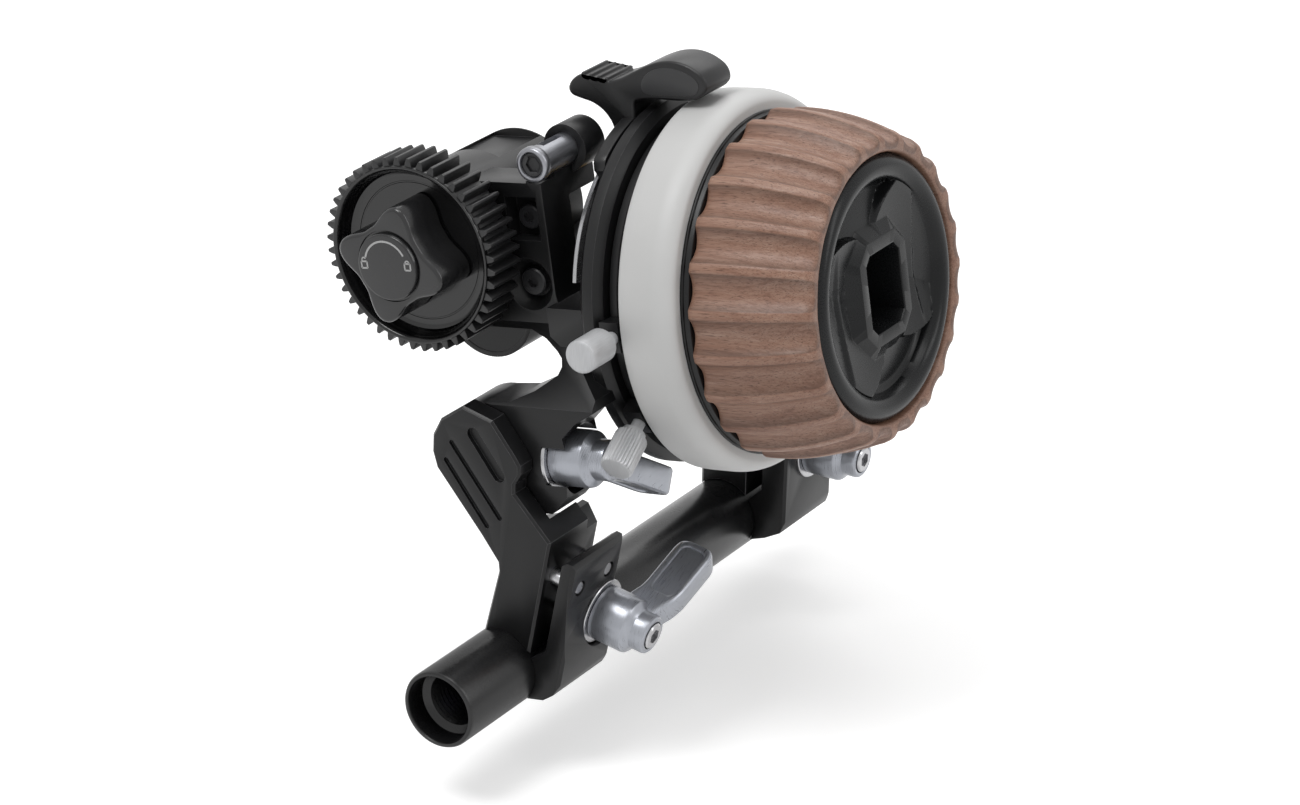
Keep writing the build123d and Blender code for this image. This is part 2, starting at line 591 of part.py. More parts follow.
def bearing_plate():
    """Plate with the two front bearings; it closes the spur pocket."""
    plate = slab_y(stadium(SPUR_TIP_R + AIR - SEAT, DRIVE_X, DRIVE_Z, COUNTER_X, WHEEL_Z), 40.8, SPUR_Y - 0.6)
    for x, z, shaft, bearing in ((DRIVE_X, DRIVE_Z, DRIVE_SHAFT_R, DRIVE_BEARING),
                                 (COUNTER_X, WHEEL_Z, COUNTER_SHAFT_R, COUNTER_BEARING)):
        plate -= bar_y(shaft + 0.5, 40, 50, x, z)
        plate -= bar_y(bearing[0] + SEAT, SPUR_Y - 0.6 - bearing[1], 50, x, z)
    return plate


def rear_cover():
    """Round cover over the bevel gears."""
    x = COUNTER_X + 4
    y0 = COVER_Y
    cover = turn_y([(y0 - 1, 0), (y0 - 1, 6.5), (y0, 6.5), (y0, 8.6), (y0 + 1.1, 8.6), (y0 + 1.6, 8.1),
                    (y0 + 1.6, 0)], x, WHEEL_Z)
    for turn in (90, 210, 330):
        cover -= bar_y(0.9, y0 - 2, y0 + 3, x + 6.9 * cos(radians(turn)), WHEEL_Z + 6.9 * sin(radians(turn)))
    return cover


def cover_screws():
    """Three small screws of the rear cover."""
    screws = []
    y0 = COVER_Y
    for turn in (90, 210, 330):
        x = COUNTER_X + 4 + 6.9 * cos(radians(turn))
        z = WHEEL_Z + 6.9 * sin(radians(turn))
        screws.append(turn_y([(y0 + 0.1, 0), (y0 + 0.1, 0.85), (y0 + 1.6, 0.85), (y0 + 1.6, 1.5),
                              (y0 + 2.3, 1.2), (y0 + 2.3, 0)], x, z))
    return screws


def socket_screw(head_r, head_t, shank_r, length, key):
    """Socket head screw along +Y, head in front, under-head face at zero."""
    screw = turn_y([(-head_t, 0), (-head_t, head_r - 0.25), (-head_t + 0.25, head_r), (0, head_r),
                    (0, shank_r), (length, shank_r), (length, 0)])
    return screw - Pos(0, -head_t - 1, 0) * Rot(-90, 0, 0) * hexagon(key, 1 + head_t * 0.6)


def bracket_screws():
    """Screw in the square recess and screw in the round bowl."""
    return [Pos(7.4, PLATE_Y + 3.6, 81.4) * socket_screw(2.3, 1.6, 1.5, 4.6, 2.0),
            Pos(6.9, PLATE_Y + 2.6, 69.3) * socket_screw(2.6, 1.4, 1.5, 4.2, 2.0)]


def tube_nut():
    """Brass nut on the tube between the gear case and the bracket."""
    nut = ring_x(11.2, 9.0 + SEAT, 7.2, 11.9, WHEEL_Y, WHEEL_Z, 0.4)
    for i in range(6):
        a = radians(60 * i)
        nut -= Pos(0, 11.4 * cos(a) + WHEEL_Y, 11.4 * sin(a) + WHEEL_Z) * bar_x(1.2, 7, 9.6)
    return nut


def brake_pad():
    """Brass pad that the head lever presses on the pivot pin."""
    x0 = PIVOT[0] + PIVOT_R - 0.6
    pad = bar_x(3.0, x0, 9.4, HEAD_LEVER_Y, HEAD_LEVER_Z)
    return pad - bar_y(PIVOT_R + RUN, 20, 40, *PIVOT)


def bearing_y(size, bore, y0, x, z):
    """Ball bearing as one ring with a groove in each face."""
    mid = (size[0] + bore) / 2
    y1 = y0 + size[1]
    return turn_y([(y0, bore), (y0, mid - 0.4), (y0 + 0.3, mid - 0.3), (y0 + 0.3, mid + 0.3), (y0, mid + 0.4),
                   (y0, size[0] - 0.2), (y0 + 0.2, size[0]), (y1 - 0.2, size[0]), (y1, size[0] - 0.2),
                   (y1, mid + 0.4), (y1 - 0.3, mid + 0.3), (y1 - 0.3, mid - 0.3), (y1, mid - 0.4),
                   (y1, bore)], x, z)


def bearing_x(size, bore, x0, y, z):
    """The same bearing about X."""
    mid = (size[0] + bore) / 2
    x1 = x0 + size[1]
    return turn_x([(x0, bore), (x0, mid - 0.4), (x0 + 0.3, mid - 0.3), (x0 + 0.3, mid + 0.3), (x0, mid + 0.4),
                   (x0, size[0] - 0.2), (x0 + 0.2, size[0]), (x1 - 0.2, size[0]), (x1, size[0] - 0.2),
                   (x1, mid + 0.4), (x1 - 0.3, mid + 0.3), (x1 - 0.3, mid - 0.3), (x1, mid - 0.4),
                   (x1, bore)], y, z)


# ---------------------------------------------------------------- release pin
def release_pin():
    """Push pin on the bracket, hollow at the back for its spring."""
    x, z = RELEASE
    y0 = RELEASE_Y
    pin = turn_y([(y0, 0), (y0, 2.8), (y0 + 0.5, 3.3), (y0 + 1.6, 3.3), (y0 + 2.0, RELEASE_R),
                  (y0 + RELEASE_LENGTH, RELEASE_R), (y0 + RELEASE_LENGTH, 0)], x, z)
    pin -= bar_y(2.0, y0 + 6, y0 + 20, x, z)
    pin -= Pos(x, y0 - 1, z) * Rot(-90, 0, 0) * hexagon(3.4, 3)
    return pin - slab_y(flat([(x - 0.9, z + 1.9), (x + 0.9, z + 1.9), (x + 0.9, z + 4), (x - 0.9, z + 4)]),
                        y0 + 3.5, y0 + 10)


def release_spring():
    """Coil spring inside the release pin."""
    x, z = RELEASE
    turns = 4
    length = RELEASE_FLOOR - (RELEASE_Y + 6 + RELEASE_STROKE) - 0.9
    path = Helix(length / turns, length, 1.5)
    coil = sweep((path ^ 0) * RegularPolygon(0.28, 8), path=path, is_frenet=True)
    return Pos(x, RELEASE_FLOOR - length - 0.3, z) * Rot(-90, 0, 0) * coil


# ---------------------------------------------------------------- hard stops and index lever
def stop_ring(first, turn):
    """Thin ring with a full-width tab that carries a stop screw."""
    x0 = DISC_X + DISC_T + 0.3
    gap = RING_X - AIR + 0.05 - x0
    a0 = x0 if first else x0 + gap - STOP_T
    a1 = a0 + STOP_T
    ring = ring_x(STOP_OUT_R, SPINDLE_R + RUN, a0, a1, 0, 0, 0.15)
    ring += slab_x(sector(SPINDLE_R + 3, TAB_OUT_R, turn, TAB_HALF), a0, a1)
    ring += slab_x(sector(STOP_OUT_R + AIR, TAB_OUT_R, turn, TAB_HALF), x0, x0 + gap)
    ring -= stop_place(turn) * Cylinder(STOP_STEM_R + RUN, 20, align=BOTTOM)
    return Pos(0, WHEEL_Y, WHEEL_Z) * ring


def stop_place(turn):
    """Place of a stop screw before the shift to the wheel axis: Z outwards."""
    a = radians(turn)
    r = STOP_STEM_IN
    return Plane(origin=(STOP_X, -r * cos(a), -r * sin(a)), x_dir=(1, 0, 0),
                 z_dir=(0, -cos(a), -sin(a))).location


def stop_screw(turn):
    """Knurled stop screw, pointing outwards."""
    head = STOP_HEAD_IN - STOP_STEM_IN
    end = STOP_HEAD_OUT - STOP_STEM_IN
    profile = Plane.XZ * flat([(0, 0.1), (STOP_STEM_R, 0.1), (STOP_STEM_R, head - 1.4), (2.2, head - 1.0),
                               (2.2, head), (STOP_HEAD_R - 0.3, head), (STOP_HEAD_R, head + 0.3),
                               (STOP_HEAD_R, end - 0.5), (STOP_HEAD_R - 0.5, end), (0, end)])
    screw = revolve(profile, Axis.Z, 360)
    return Pos(0, WHEEL_Y, WHEEL_Z) * stop_place(turn) * screw


def index_lever():
    """Marking pointer: curved foot behind the disc, thumb pad and nose over the marking ring."""
    foot = slab_x(sector(SPIGOT_R + RUN, INDEX_OUT_R, -90, INDEX_SWEEP, 18), INDEX_X, DISC_X - 0.3)
    foot = Pos(0, WHEEL_Y, WHEEL_Z) * foot
    over = WHEEL_Z + RING_R + 0.6
    root = WHEEL_Z + INDEX_OUT_R - 3.1
    outline = [(INDEX_X, root), (DISC_X - 0.3, root), (DISC_X - 0.3, over - 0.4), (22.5, over), (31.5, over),
               (36.0, over + 1.4), (36.9, over + 3.3), (35.2, over + 5.6), (31.0, over + 7.4),
               (27.0, over + 7.6), (22.0, over + 5.6), (17.0, over + 3.4), (12.4, over + 4.9),
               (8.6, over + 3.6), (7.0, over + 1.6), (8.2, over + 0.2), (11.6, over - 0.6),
               (15.0, over - 2.6), (16.6, over - 5.6)]
    middle = WHEEL_Y - INDEX_SHIFT
    lever = slab_y(flat(outline, 0.3), middle - INDEX_HALF, middle + INDEX_HALF)
    lever = chamfer(lever.edges().group_by(Axis.Y)[0] + lever.edges().group_by(Axis.Y)[-1], 0.25)
    return foot + lever


def index_clip():
    """Flat clip ring that keeps the index lever on its spigot."""
    clip = ring_x(SPIGOT_R + 1.7, SPIGOT_R + SEAT, INDEX_X - 1.2, INDEX_X - 0.3, 0, 0, 0.1)
    clip -= slab_x(sector(SPIGOT_R - 2, SPIGOT_R + 4.5, 10, 25), INDEX_X - 2, INDEX_X)
    return Pos(0, WHEEL_Y, WHEEL_Z) * clip


# ---------------------------------------------------------------- handwheel
def marking_ring():
    """Light ring for focus marks, rounded towards the grip."""
    x0 = RING_X
    x1 = RING_END
    lip = RING_R - RING_FRONT_R
    return turn_x([(x0, RIM_BORE_R + SEAT), (x0, RING_R - 0.6), (x0 + 0.5, RING_R - 0.1), (x0 + 2, RING_R),
                   (x1 - 4.5, RING_R), (x1 - 2.4, RING_R - 0.12 * lip), (x1 - 1.0, RING_R - 0.4 * lip),
                   (x1 - 0.2, RING_R - 0.76 * lip), (x1, RING_FRONT_R), (x1, RIM_BORE_R + SEAT)],
                  WHEEL_Y, WHEEL_Z)


def wheel_hub():
    """Turned hub that carries ring, grip and cap."""
    x0 = RING_X + 0.1
    face = 52.0
    return turn_x([(x0, WHEEL_SHAFT_R + SEAT), (x0, RIM_BORE_R), (RING_END, RIM_BORE_R),
                   (RING_END, GRIP_BORE_R), (CAP_SEAT_X, GRIP_BORE_R), (CAP_SEAT_X, 12.6), (face, 12.6),
                   (face, WHEEL_SHAFT_R + SEAT)], WHEEL_Y, WHEEL_Z)


def grip_collar():
    """Black collar between ring and grip."""
    return ring_x(COLLAR_R, GRIP_BORE_R + SEAT, RING_END, RING_END + COLLAR_T, WHEEL_Y, WHEEL_Z, 0.35)


def wood_grip():
    """Wooden grip with a crowned outside and rounded flutes."""
    x0 = RING_END + COLLAR_T
    end = GRIP_END - GRIP_CORNER + 1.28

    def crown(x):
        return GRIP_R - GRIP_CROWN * (x - GRIP_CROWN_X)**2

    slope = asin(min(0.9, 2 * GRIP_CROWN * (end - GRIP_CROWN_X)))
    cx = end - GRIP_CORNER * sin(slope)
    cr = crown(end) - GRIP_CORNER * cos(slope)
    mid = radians(90) - slope
    edges = [Line((x0, GRIP_BORE_R + SEAT), (x0, GRIP_R - 0.9)),
             Line((x0, GRIP_R - 0.9), (x0 + 0.9, crown(x0 + 0.9))),
             ThreePointArc((x0 + 0.9, crown(x0 + 0.9)), ((x0 + end) / 2, crown((x0 + end) / 2)),
                           (end, crown(end))),
             ThreePointArc((end, crown(end)), (cx + GRIP_CORNER * cos(mid / 2), cr + GRIP_CORNER * sin(mid / 2)),
                           (cx + GRIP_CORNER, cr)),
             Line((cx + GRIP_CORNER, cr), (cx + GRIP_CORNER, CAP_R + SEAT)),
             Line((cx + GRIP_CORNER, CAP_R + SEAT), (CAP_SEAT_X, CAP_R + SEAT)),
             Line((CAP_SEAT_X, CAP_R + SEAT), (CAP_SEAT_X, GRIP_BORE_R + SEAT)),
             Line((CAP_SEAT_X, GRIP_BORE_R + SEAT), (x0, GRIP_BORE_R + SEAT))]
    body = revolve(make_face(edges), Axis.X, 360)
    # each flute is an arc-shaped groove that follows the crown
    bend = 1 / (2 * GRIP_CROWN)
    centre_r = GRIP_R - bend
    reach = bend + FLUTE_R - FLUTE_DEPTH
    hoop = Plane.XY * Pos(GRIP_CROWN_X, centre_r) * Rot(0, 0, 0) * Torus(reach, FLUTE_R)
    keep = block(x0 - 2, GRIP_END + 3, 0, 60, -8, 8)
    cutter = hoop & keep
    cuts = [Rot(360 / FLUTES * i, 0, 0) * cutter for i in range(FLUTES)]
    return Pos(0, WHEEL_Y, WHEEL_Z) * (body - cuts)


def front_cap():
    """Dished cap with the raised whip socket."""
    x0 = CAP_SEAT_X
    cap = turn_x([(x0, 0), (x0, CAP_R), (x0 + 2.7, CAP_R), (x0 + 4.3, CAP_R - 0.8), (x0 + 5.0, CAP_R - 2.2),
                  (x0 + 4.7, CAP_R - 3.4), (x0 + 3.3, CAP_R - 4.6), (x0 + 2.2, CAP_R - 7.0),
                  (x0 + 1.9, 0)], WHEEL_Y, WHEEL_Z)
    cap += bar_x(12.4, SOCKET_END - 0.5, x0 + 0.5, WHEEL_Y, WHEEL_Z)
    cap += Pos(0, WHEEL_Y, WHEEL_Z) * slab_x(chamfered(SOCKET_Y + 6.0, SOCKET_Z + 7.0, 5.0), x0, x0 + 4.8)
    cap -= Pos(0, WHEEL_Y, WHEEL_Z) * slab_x(chamfered(SOCKET_Y, SOCKET_Z, 2.6), SOCKET_END, x0 + 8)
    return cap


def chamfered(width, height, cut):
    """Rectangle with cut corners, in Y and Z."""
    w = width / 2
    h = height / 2
    return flat([(-w, -h + cut), (-w + cut, -h), (w - cut, -h), (w, -h + cut), (w, h - cut), (w - cut, h),
                 (-w + cut, h), (-w, h - cut)])


def wheel_shaft():
    """Shaft of the handwheel."""
    x0 = COUNTER_X + 6.4
    shaft = turn_x([(x0, 0), (x0, WHEEL_SHAFT_R - 0.3), (x0 + 0.3, WHEEL_SHAFT_R), (51.9, WHEEL_SHAFT_R),
                    (51.9, 0)], WHEEL_Y, WHEEL_Z)
    return shaft - bar_x(1.55, 42, 60, WHEEL_Y, WHEEL_Z)


def wheel_screw():
    """Screw that holds the hub on the shaft."""
    screw = turn_x([(43, 0), (43, 1.5), (52, 1.5), (52, 5.2), (54.2, 5.2), (54.7, 4.7), (54.7, 0)],
                   WHEEL_Y, WHEEL_Z)
    return screw - Pos(53.2, WHEEL_Y, WHEEL_Z) * Rot(0, 90, 0) * hexagon(3.0, 3)


# ---------------------------------------------------------------- drive gear and lock knob
def drive_gear():
    """Focus gear with a dished front."""
    y1 = GEAR_Y + GEAR_WIDTH
    gear = Pos(DRIVE_X, 0, DRIVE_Z) * slab_y(gear_face(DRIVE_TEETH, pi / 2), GEAR_Y, y1)
    gear -= turn_y([(GEAR_Y - 1, 0), (GEAR_Y - 1, DISH_R + 1.2), (GEAR_Y + 0.2, DISH_R),
                    (GEAR_Y + DISH_DEPTH, DISH_R - 0.5), (GEAR_Y + DISH_DEPTH, 0)], DRIVE_X, DRIVE_Z)
    gear -= turn_y([(y1 + 1, 6.5), (y1 - 2.2, 6.5), (y1 - 2.2, DISH_R - 1), (y1 + 1, DISH_R)], DRIVE_X, DRIVE_Z)
    return gear - bar_y(DRIVE_SHAFT_R + SEAT, GEAR_Y - 1, y1 + 1, DRIVE_X, DRIVE_Z)


def lock_knob():
    """Four-lobed knob that locks the gear on its shaft."""
    y0 = 18.6
    y1 = GEAR_Y + DISH_DEPTH - AIR
    points = []
    steps = 48
    for i in range(steps):
        a = 2 * pi * i / steps
        r = LOBE_IN + (LOBE_OUT - LOBE_IN) * ((1 + cos(LOBES * a)) / 2)**1.5
        points.append((r * sin(a + LOBE_TURN), r * cos(a + LOBE_TURN)))
    rim = make_face(Spline(*points, periodic=True))
    knob = slab_y(rim, y0 + 0.9, y1)
    knob = chamfer(knob.edges().group_by(Axis.Y)[0], 0.6)
    knob += turn_y([(y0, 0), (y0, 5.9), (y0 + 0.3, 6.2), (y0 + 1.2, 6.2), (y0 + 1.2, 0)])
    knob -= bar_y(DRIVE_SHAFT_R + RUN, y0 + 2.2, y1 + 1)
    return Pos(DRIVE_X, 0, DRIVE_Z) * knob


def drive_shaft():
    """Shaft through the drive barrel."""
    return turn_y([(21.2, 0), (21.2, DRIVE_SHAFT_R - 0.3), (21.5, DRIVE_SHAFT_R), (59, DRIVE_SHAFT_R),
                   (59, 0)], DRIVE_X, DRIVE_Z)


def counter_shaft():
    """Shaft between the bevel pair and the spur pair."""
    end = WHEEL_Y - BEVEL_R + 1.6
    return turn_y([(41.3, 0), (41.3, COUNTER_SHAFT_R), (end, COUNTER_SHAFT_R), (end, 0)], COUNTER_X, WHEEL_Z)


def spur_pair():
    """The two equal spur gears, in mesh."""
    dx = DRIVE_X - COUNTER_X
    dz = DRIVE_Z - WHEEL_Z
    line = acos(dx / hypot(dx, dz))
    low = Pos(COUNTER_X, 0, WHEEL_Z) * slab_y(gear_face(SPUR_TEETH, line), SPUR_Y, SPUR_Y + SPUR_WIDTH)
    high = slab_y(gear_face(SPUR_TEETH, line + pi + pi / SPUR_TEETH), SPUR_Y, SPUR_Y + SPUR_WIDTH)
    high = Pos(DRIVE_X, 0, DRIVE_Z) * high
    low -= bar_y(COUNTER_SHAFT_R + SEAT, 40, 60, COUNTER_X, WHEEL_Z)
    high -= bar_y(DRIVE_SHAFT_R + SEAT, 40, 60, DRIVE_X, DRIVE_Z)
    return low, high


# ---------------------------------------------------------------- rear clamp
def rear_clamp_body():
    """Fixed leg of the rear clamp with the mounting face on its left."""
    z1 = REAR_TOP
    outline = [(REAR_LEFT, 0), (REAR_LEFT, z1 - 1.5), (REAR_LEFT + 1.5, z1), (LEG_RIGHT - 1.5, z1),
               (LEG_RIGHT, z1 - 1.5), (LEG_RIGHT, 0)]
    body = slab_y(flat(outline), REAR_Y, REAR_Y + REAR_LENGTH)
    body = chamfer(body.edges().filter_by(Axis.Z).sort_by(Axis.X)[:2], 0.8)
    body = cut_leg(body, REAR_Y, REAR_LENGTH, REAR_Y + REAR_STUD, REAR_STUD_Z)
    return body - bar_x(MOUNT_R, REAR_LEFT - 1, REAR_LEFT + MOUNT_DEPTH, ORIGIN[1], MOUNT_Z)


# ---------------------------------------------------------------- write the pieces
front_stud_y = FRONT_Y + FRONT_STUD
rear_stud_y = REAR_Y + REAR_STUD
front_face = LEG_RIGHT + SLIT + FRONT_JAW
rear_face = LEG_RIGHT + SLIT + REAR_JAW

save("rear_clamp_body", rear_clamp_body(), LEVEL)
save("rear_guide_pins", guide_pins(REAR_Y, REAR_LENGTH, rear_face), LEVEL)
save("rear_clamp_jaw", jaw(REAR_Y, REAR_LENGTH, REAR_JAW, rear_stud_y, REAR_STUD_Z), LEVEL)
save_lever("rear", rear_face, rear_stud_y, REAR_STUD_Z, REAR_LEVER_TURN, rear_face - REAR_LEFT - 0.4, LEVEL)
save("support_rod", support_rod(), LEVEL)

save("swing_arm", swing_arm(), ARM)
save("front_guide_pins", guide_pins(FRONT_Y, CLAMP_LENGTH, front_face), ARM)
save("front_clamp_jaw", jaw(FRONT_Y, CLAMP_LENGTH, FRONT_JAW, front_stud_y, STUD_Z), ARM)
save_lever("front", front_face, front_stud_y, STUD_Z, FRONT_LEVER_TURN, front_face - LEG_LEFT - 0.8, ARM)
save("pivot_shaft", pivot_shaft(), ARM)
save("pivot_washer", pivot_washer(), ARM)
save("pivot_screw", pivot_screw(), ARM)

save("main_bracket", main_bracket(), HEAD)
save("gearcase", gearcase(), HEAD)
save("bearing_plate", bearing_plate(), HEAD)
save("rear_cover", rear_cover(), HEAD)
save("cover_screws", cover_screws(), HEAD)
save("bracket_screws", bracket_screws(), HEAD)
save("tube_nut", tube_nut(), HEAD)
save("brake_pad", brake_pad(), HEAD)
save_lever("head", HEAD_LEVER_SEAT, HEAD_LEVER_Y, HEAD_LEVER_Z, HEAD_LEVER_TURN, HEAD_LEVER_SEAT - 9.6, HEAD)

save("wheel_bearing_inner", bearing_x(WHEEL_BEARING, WHEEL_SHAFT_R + RUN, 13.6, WHEEL_Y, WHEEL_Z), HEAD)
save("wheel_bearing_outer", bearing_x(WHEEL_BEARING, WHEEL_SHAFT_R + RUN, RING_X - AIR - WHEEL_BEARING[1] - 0.1,
                                      WHEEL_Y, WHEEL_Z), HEAD)
plate_end = SPUR_Y - 0.6
save("counter_bearings",
     [bearing_y(COUNTER_BEARING, COUNTER_SHAFT_R + RUN, plate_end - COUNTER_BEARING[1], COUNTER_X, WHEEL_Z),
      bearing_y(COUNTER_BEARING, COUNTER_SHAFT_R + RUN, BEARING_BACK, COUNTER_X, WHEEL_Z)], HEAD)
save("drive_bearings",
     [bearing_y(DRIVE_BEARING, DRIVE_SHAFT_R + RUN, plate_end - DRIVE_BEARING[1], DRIVE_X, DRIVE_Z),
      bearing_y(DRIVE_BEARING, DRIVE_SHAFT_R + RUN, BEARING_BACK, DRIVE_X, DRIVE_Z)], HEAD)
save("release_pin", release_pin(), HEAD)
save("release_spring", release_spring(), HEAD)

save("stop_ring_a", stop_ring(True, STOP_A_TURN), HEAD)
save("stop_screw_a", stop_screw(STOP_A_TURN), HEAD)
save("stop_ring_b", stop_ring(False, STOP_B_TURN), HEAD)
save("stop_screw_b", stop_screw(STOP_B_TURN), HEAD)
save("index_lever", index_lever(), HEAD)
save("index_clip", index_clip(), HEAD)

apex = (COUNTER_X, WHEEL_Y, WHEEL_Z)
wheel_place = Plane(origin=apex, x_dir=(0, -1, 0), z_dir=(1, 0, 0)).location
counter_place = Plane(origin=apex, x_dir=(1, 0, 0), z_dir=(0, -1, 0)).location
save("wheel_shaft", wheel_shaft(), HEAD)
save("wheel_bevel_gear", wheel_place * bevel_gear(0.0, WHEEL_SHAFT_R + SEAT, 5.2, 3.2), HEAD)
save("wheel_hub", wheel_hub(), HEAD)
save("marking_ring", marking_ring(), HEAD)
save("grip_collar", grip_collar(), HEAD)
save("wood_grip", wood_grip(), HEAD)
save("front_cap", front_cap(), HEAD)
save("wheel_screw", wheel_screw(), HEAD)

counter_spur, drive_spur = spur_pair()
save("counter_shaft", counter_shaft(), HEAD)
counter_hub = WHEEL_Y - BEVEL_FOOT - COUNTER_HUB_Y
save("counter_bevel_gear",
     counter_place * bevel_gear(pi / BEVEL_TEETH, COUNTER_SHAFT_R + SEAT, 3.0, counter_hub), HEAD)
save("counter_spur_gear", counter_spur, HEAD)
save("drive_shaft", drive_shaft(), HEAD)
save("drive_spur_gear", drive_spur, HEAD)
save("drive_gear", drive_gear(), HEAD)
save("lock_knob", lock_knob(), HEAD)
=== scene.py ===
"""Dresses the follow focus unit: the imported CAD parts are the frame, this file adds forms and finishes.

Pieces are drawn in millimetres in the place of a joint (X along the handwheel or lever axis, Y along the
rod, Z up) and are then moved into the row frame, in metres.
"""

import json
from math import atan2, cos, degrees, hypot, pi, radians, sin, sqrt

import bmesh
import bpy
import numpy as np
from mathutils import Matrix, Vector

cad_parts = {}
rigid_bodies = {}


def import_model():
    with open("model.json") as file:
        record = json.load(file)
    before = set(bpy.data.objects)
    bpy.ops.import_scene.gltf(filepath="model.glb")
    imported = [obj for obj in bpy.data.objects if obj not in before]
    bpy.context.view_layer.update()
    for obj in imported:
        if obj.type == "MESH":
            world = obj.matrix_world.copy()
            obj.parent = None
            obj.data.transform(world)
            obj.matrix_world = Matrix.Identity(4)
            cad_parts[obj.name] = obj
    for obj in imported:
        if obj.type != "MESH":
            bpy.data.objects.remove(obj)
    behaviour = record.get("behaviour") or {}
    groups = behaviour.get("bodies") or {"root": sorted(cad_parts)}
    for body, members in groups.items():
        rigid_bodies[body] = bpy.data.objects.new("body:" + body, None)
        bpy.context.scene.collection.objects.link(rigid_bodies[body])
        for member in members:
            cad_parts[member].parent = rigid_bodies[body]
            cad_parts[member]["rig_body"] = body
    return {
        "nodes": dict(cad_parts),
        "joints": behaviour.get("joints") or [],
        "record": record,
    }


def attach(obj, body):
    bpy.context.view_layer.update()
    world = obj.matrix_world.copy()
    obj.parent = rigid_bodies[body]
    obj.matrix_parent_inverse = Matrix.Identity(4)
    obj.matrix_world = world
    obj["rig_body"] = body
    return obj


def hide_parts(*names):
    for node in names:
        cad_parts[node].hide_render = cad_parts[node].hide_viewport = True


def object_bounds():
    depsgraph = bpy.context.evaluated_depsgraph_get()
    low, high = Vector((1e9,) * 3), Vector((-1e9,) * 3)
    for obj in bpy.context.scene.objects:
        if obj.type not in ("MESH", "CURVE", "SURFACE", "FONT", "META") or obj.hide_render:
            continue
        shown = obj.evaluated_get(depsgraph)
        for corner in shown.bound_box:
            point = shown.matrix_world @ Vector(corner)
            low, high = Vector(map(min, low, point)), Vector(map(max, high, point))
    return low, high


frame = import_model()
cad_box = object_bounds()
MM = 0.001
joints = {j["name"]: j for j in frame["joints"]}


# ---------------------------------------------------------------- places
def place(joint, lean):
    """Matrix of a joint's place in millimetres: X along the axis of the joint named lean, Y the row's Y."""
    x = Vector(joints[lean]["axis"]).normalized() if lean else Vector((1, 0, 0))
    y = Vector((0, 1, 0))
    z = x.cross(y)
    at = Vector(joints[joint]["pos_m"])
    turn = Matrix((x, y, z)).transposed().to_4x4()
    return Matrix.Translation(at) @ turn @ Matrix.Scale(MM, 4)


WHEEL = place("wheel_spin", "wheel_spin")
DRIVE = place("drive_spin", "wheel_spin")
HEAD_LEVER = place("head_lever_turn", "wheel_spin")
STOP_A = place("stop_a_screw_turn", "wheel_spin")
STOP_B = place("stop_b_screw_turn", "wheel_spin")
FRONT_LEVER = place("front_lever_turn", "front_lever_turn")
REAR_LEVER = place("rear_lever_turn", None)
ROD = place("rod_turn", None)

# Sizes that pieces of the handwheel share, in WHEEL's millimetres.
WHEEL_SHIFT = -30.0         # is added to a length that is counted from 30 mm behind the wheel's joint
CAP_SEAT = 60.5 + WHEEL_SHIFT
CAP_R = 24.5
SLEEVE_R = 22.0


def points_of(node, at):
    """A CAD node's vertices in a place's millimetres."""
    back = at.inverted()
    return np.array([back @ v.co for v in frame["nodes"][node].data.vertices])


def reach(node, at, axis):
    """Lowest and highest coordinate of a node along one axis of a place."""
    co = points_of(node, at)[:, axis]
    return float(co.min()), float(co.max())


def radius(node, at):
    """Largest distance of a node from a place's X axis."""
    co = points_of(node, at)
    return float(np.hypot(co[:, 1], co[:, 2]).max())


# ---------------------------------------------------------------- mesh helpers
def solid(name, part, at, body, nodes, material, sharp):
    """A piece from millimetre (vertices, faces): it rides on a body, stands for nodes and takes a material.
    """
    verts, faces = part
    mesh = bpy.data.meshes.new(name)
    mesh.from_pydata([at @ Vector(v) for v in verts], [], faces)
    mesh.update()
    bm = bmesh.new()
    bm.from_mesh(mesh)
    bmesh.ops.remove_doubles(bm, verts=bm.verts, dist=2e-7)
    bmesh.ops.recalc_face_normals(bm, faces=bm.faces)
    bm.to_mesh(mesh)
    bm.free()
    finish_piece(name, mesh, body, nodes, material, sharp)


def finish_piece(name, mesh, body, nodes, material, sharp):
    """Links a mesh in the row frame as a piece of the object; edges over sharp degrees stay hard."""
    mesh.polygons.foreach_set("use_smooth", [True] * len(mesh.polygons))
    mesh.set_sharp_from_angle(angle=radians(sharp))
    piece = bpy.data.objects.new(name, mesh)
    bpy.context.scene.collection.objects.link(piece)
    mesh.materials.clear()
    mesh.materials.append(material)
    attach(piece, body)
    if nodes:
        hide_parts(*nodes)


def skin(rows, around=False, closed=True, first=False, last=False):
    """Vertices and faces over rows of equally many points.

    around joins the last row to the first, closed joins the ends of each row, and first and last cap the
    end rows.
    """
    n, count = len(rows[0]), len(rows)
    faces = []
    for i in range(count if around else count - 1):
        j = (i + 1) % count
        for k in range(n if closed else n - 1):
            m = (k + 1) % n
            faces.append((i * n + k, i * n + m, j * n + m, j * n + k))
    if first:
        faces.append(tuple(range(n)))
    if last:
        faces.append(tuple(range((count - 1) * n, count * n)))
    return [p for row in rows for p in row], faces


def lathe(profile, steps, axis="x", closed=True):
    """Vertices and faces of a turned form from (along, radius) points, about X or Y."""
    rows = []
    for i in range(steps):
        c, s = cos(2 * pi * i / steps), sin(2 * pi * i / steps)
        if axis == "x":
            rows.append([(along, r * c, r * s) for along, r in profile])
        else:
            rows.append([(r * c, along, r * s) for along, r in profile])
    return clean_faces(*skin(rows, True, closed))


def clean_faces(verts, faces):
    """Drops the doubled corners where a profile meets its axis."""
    made = []
    for face in faces:
        keep = []
        for i in face:
            if not any((Vector(verts[i]) - Vector(verts[j])).length < 1e-6 for j in keep):
                keep.append(i)
        if len(keep) > 2:
            made.append(tuple(keep))
    return verts, made


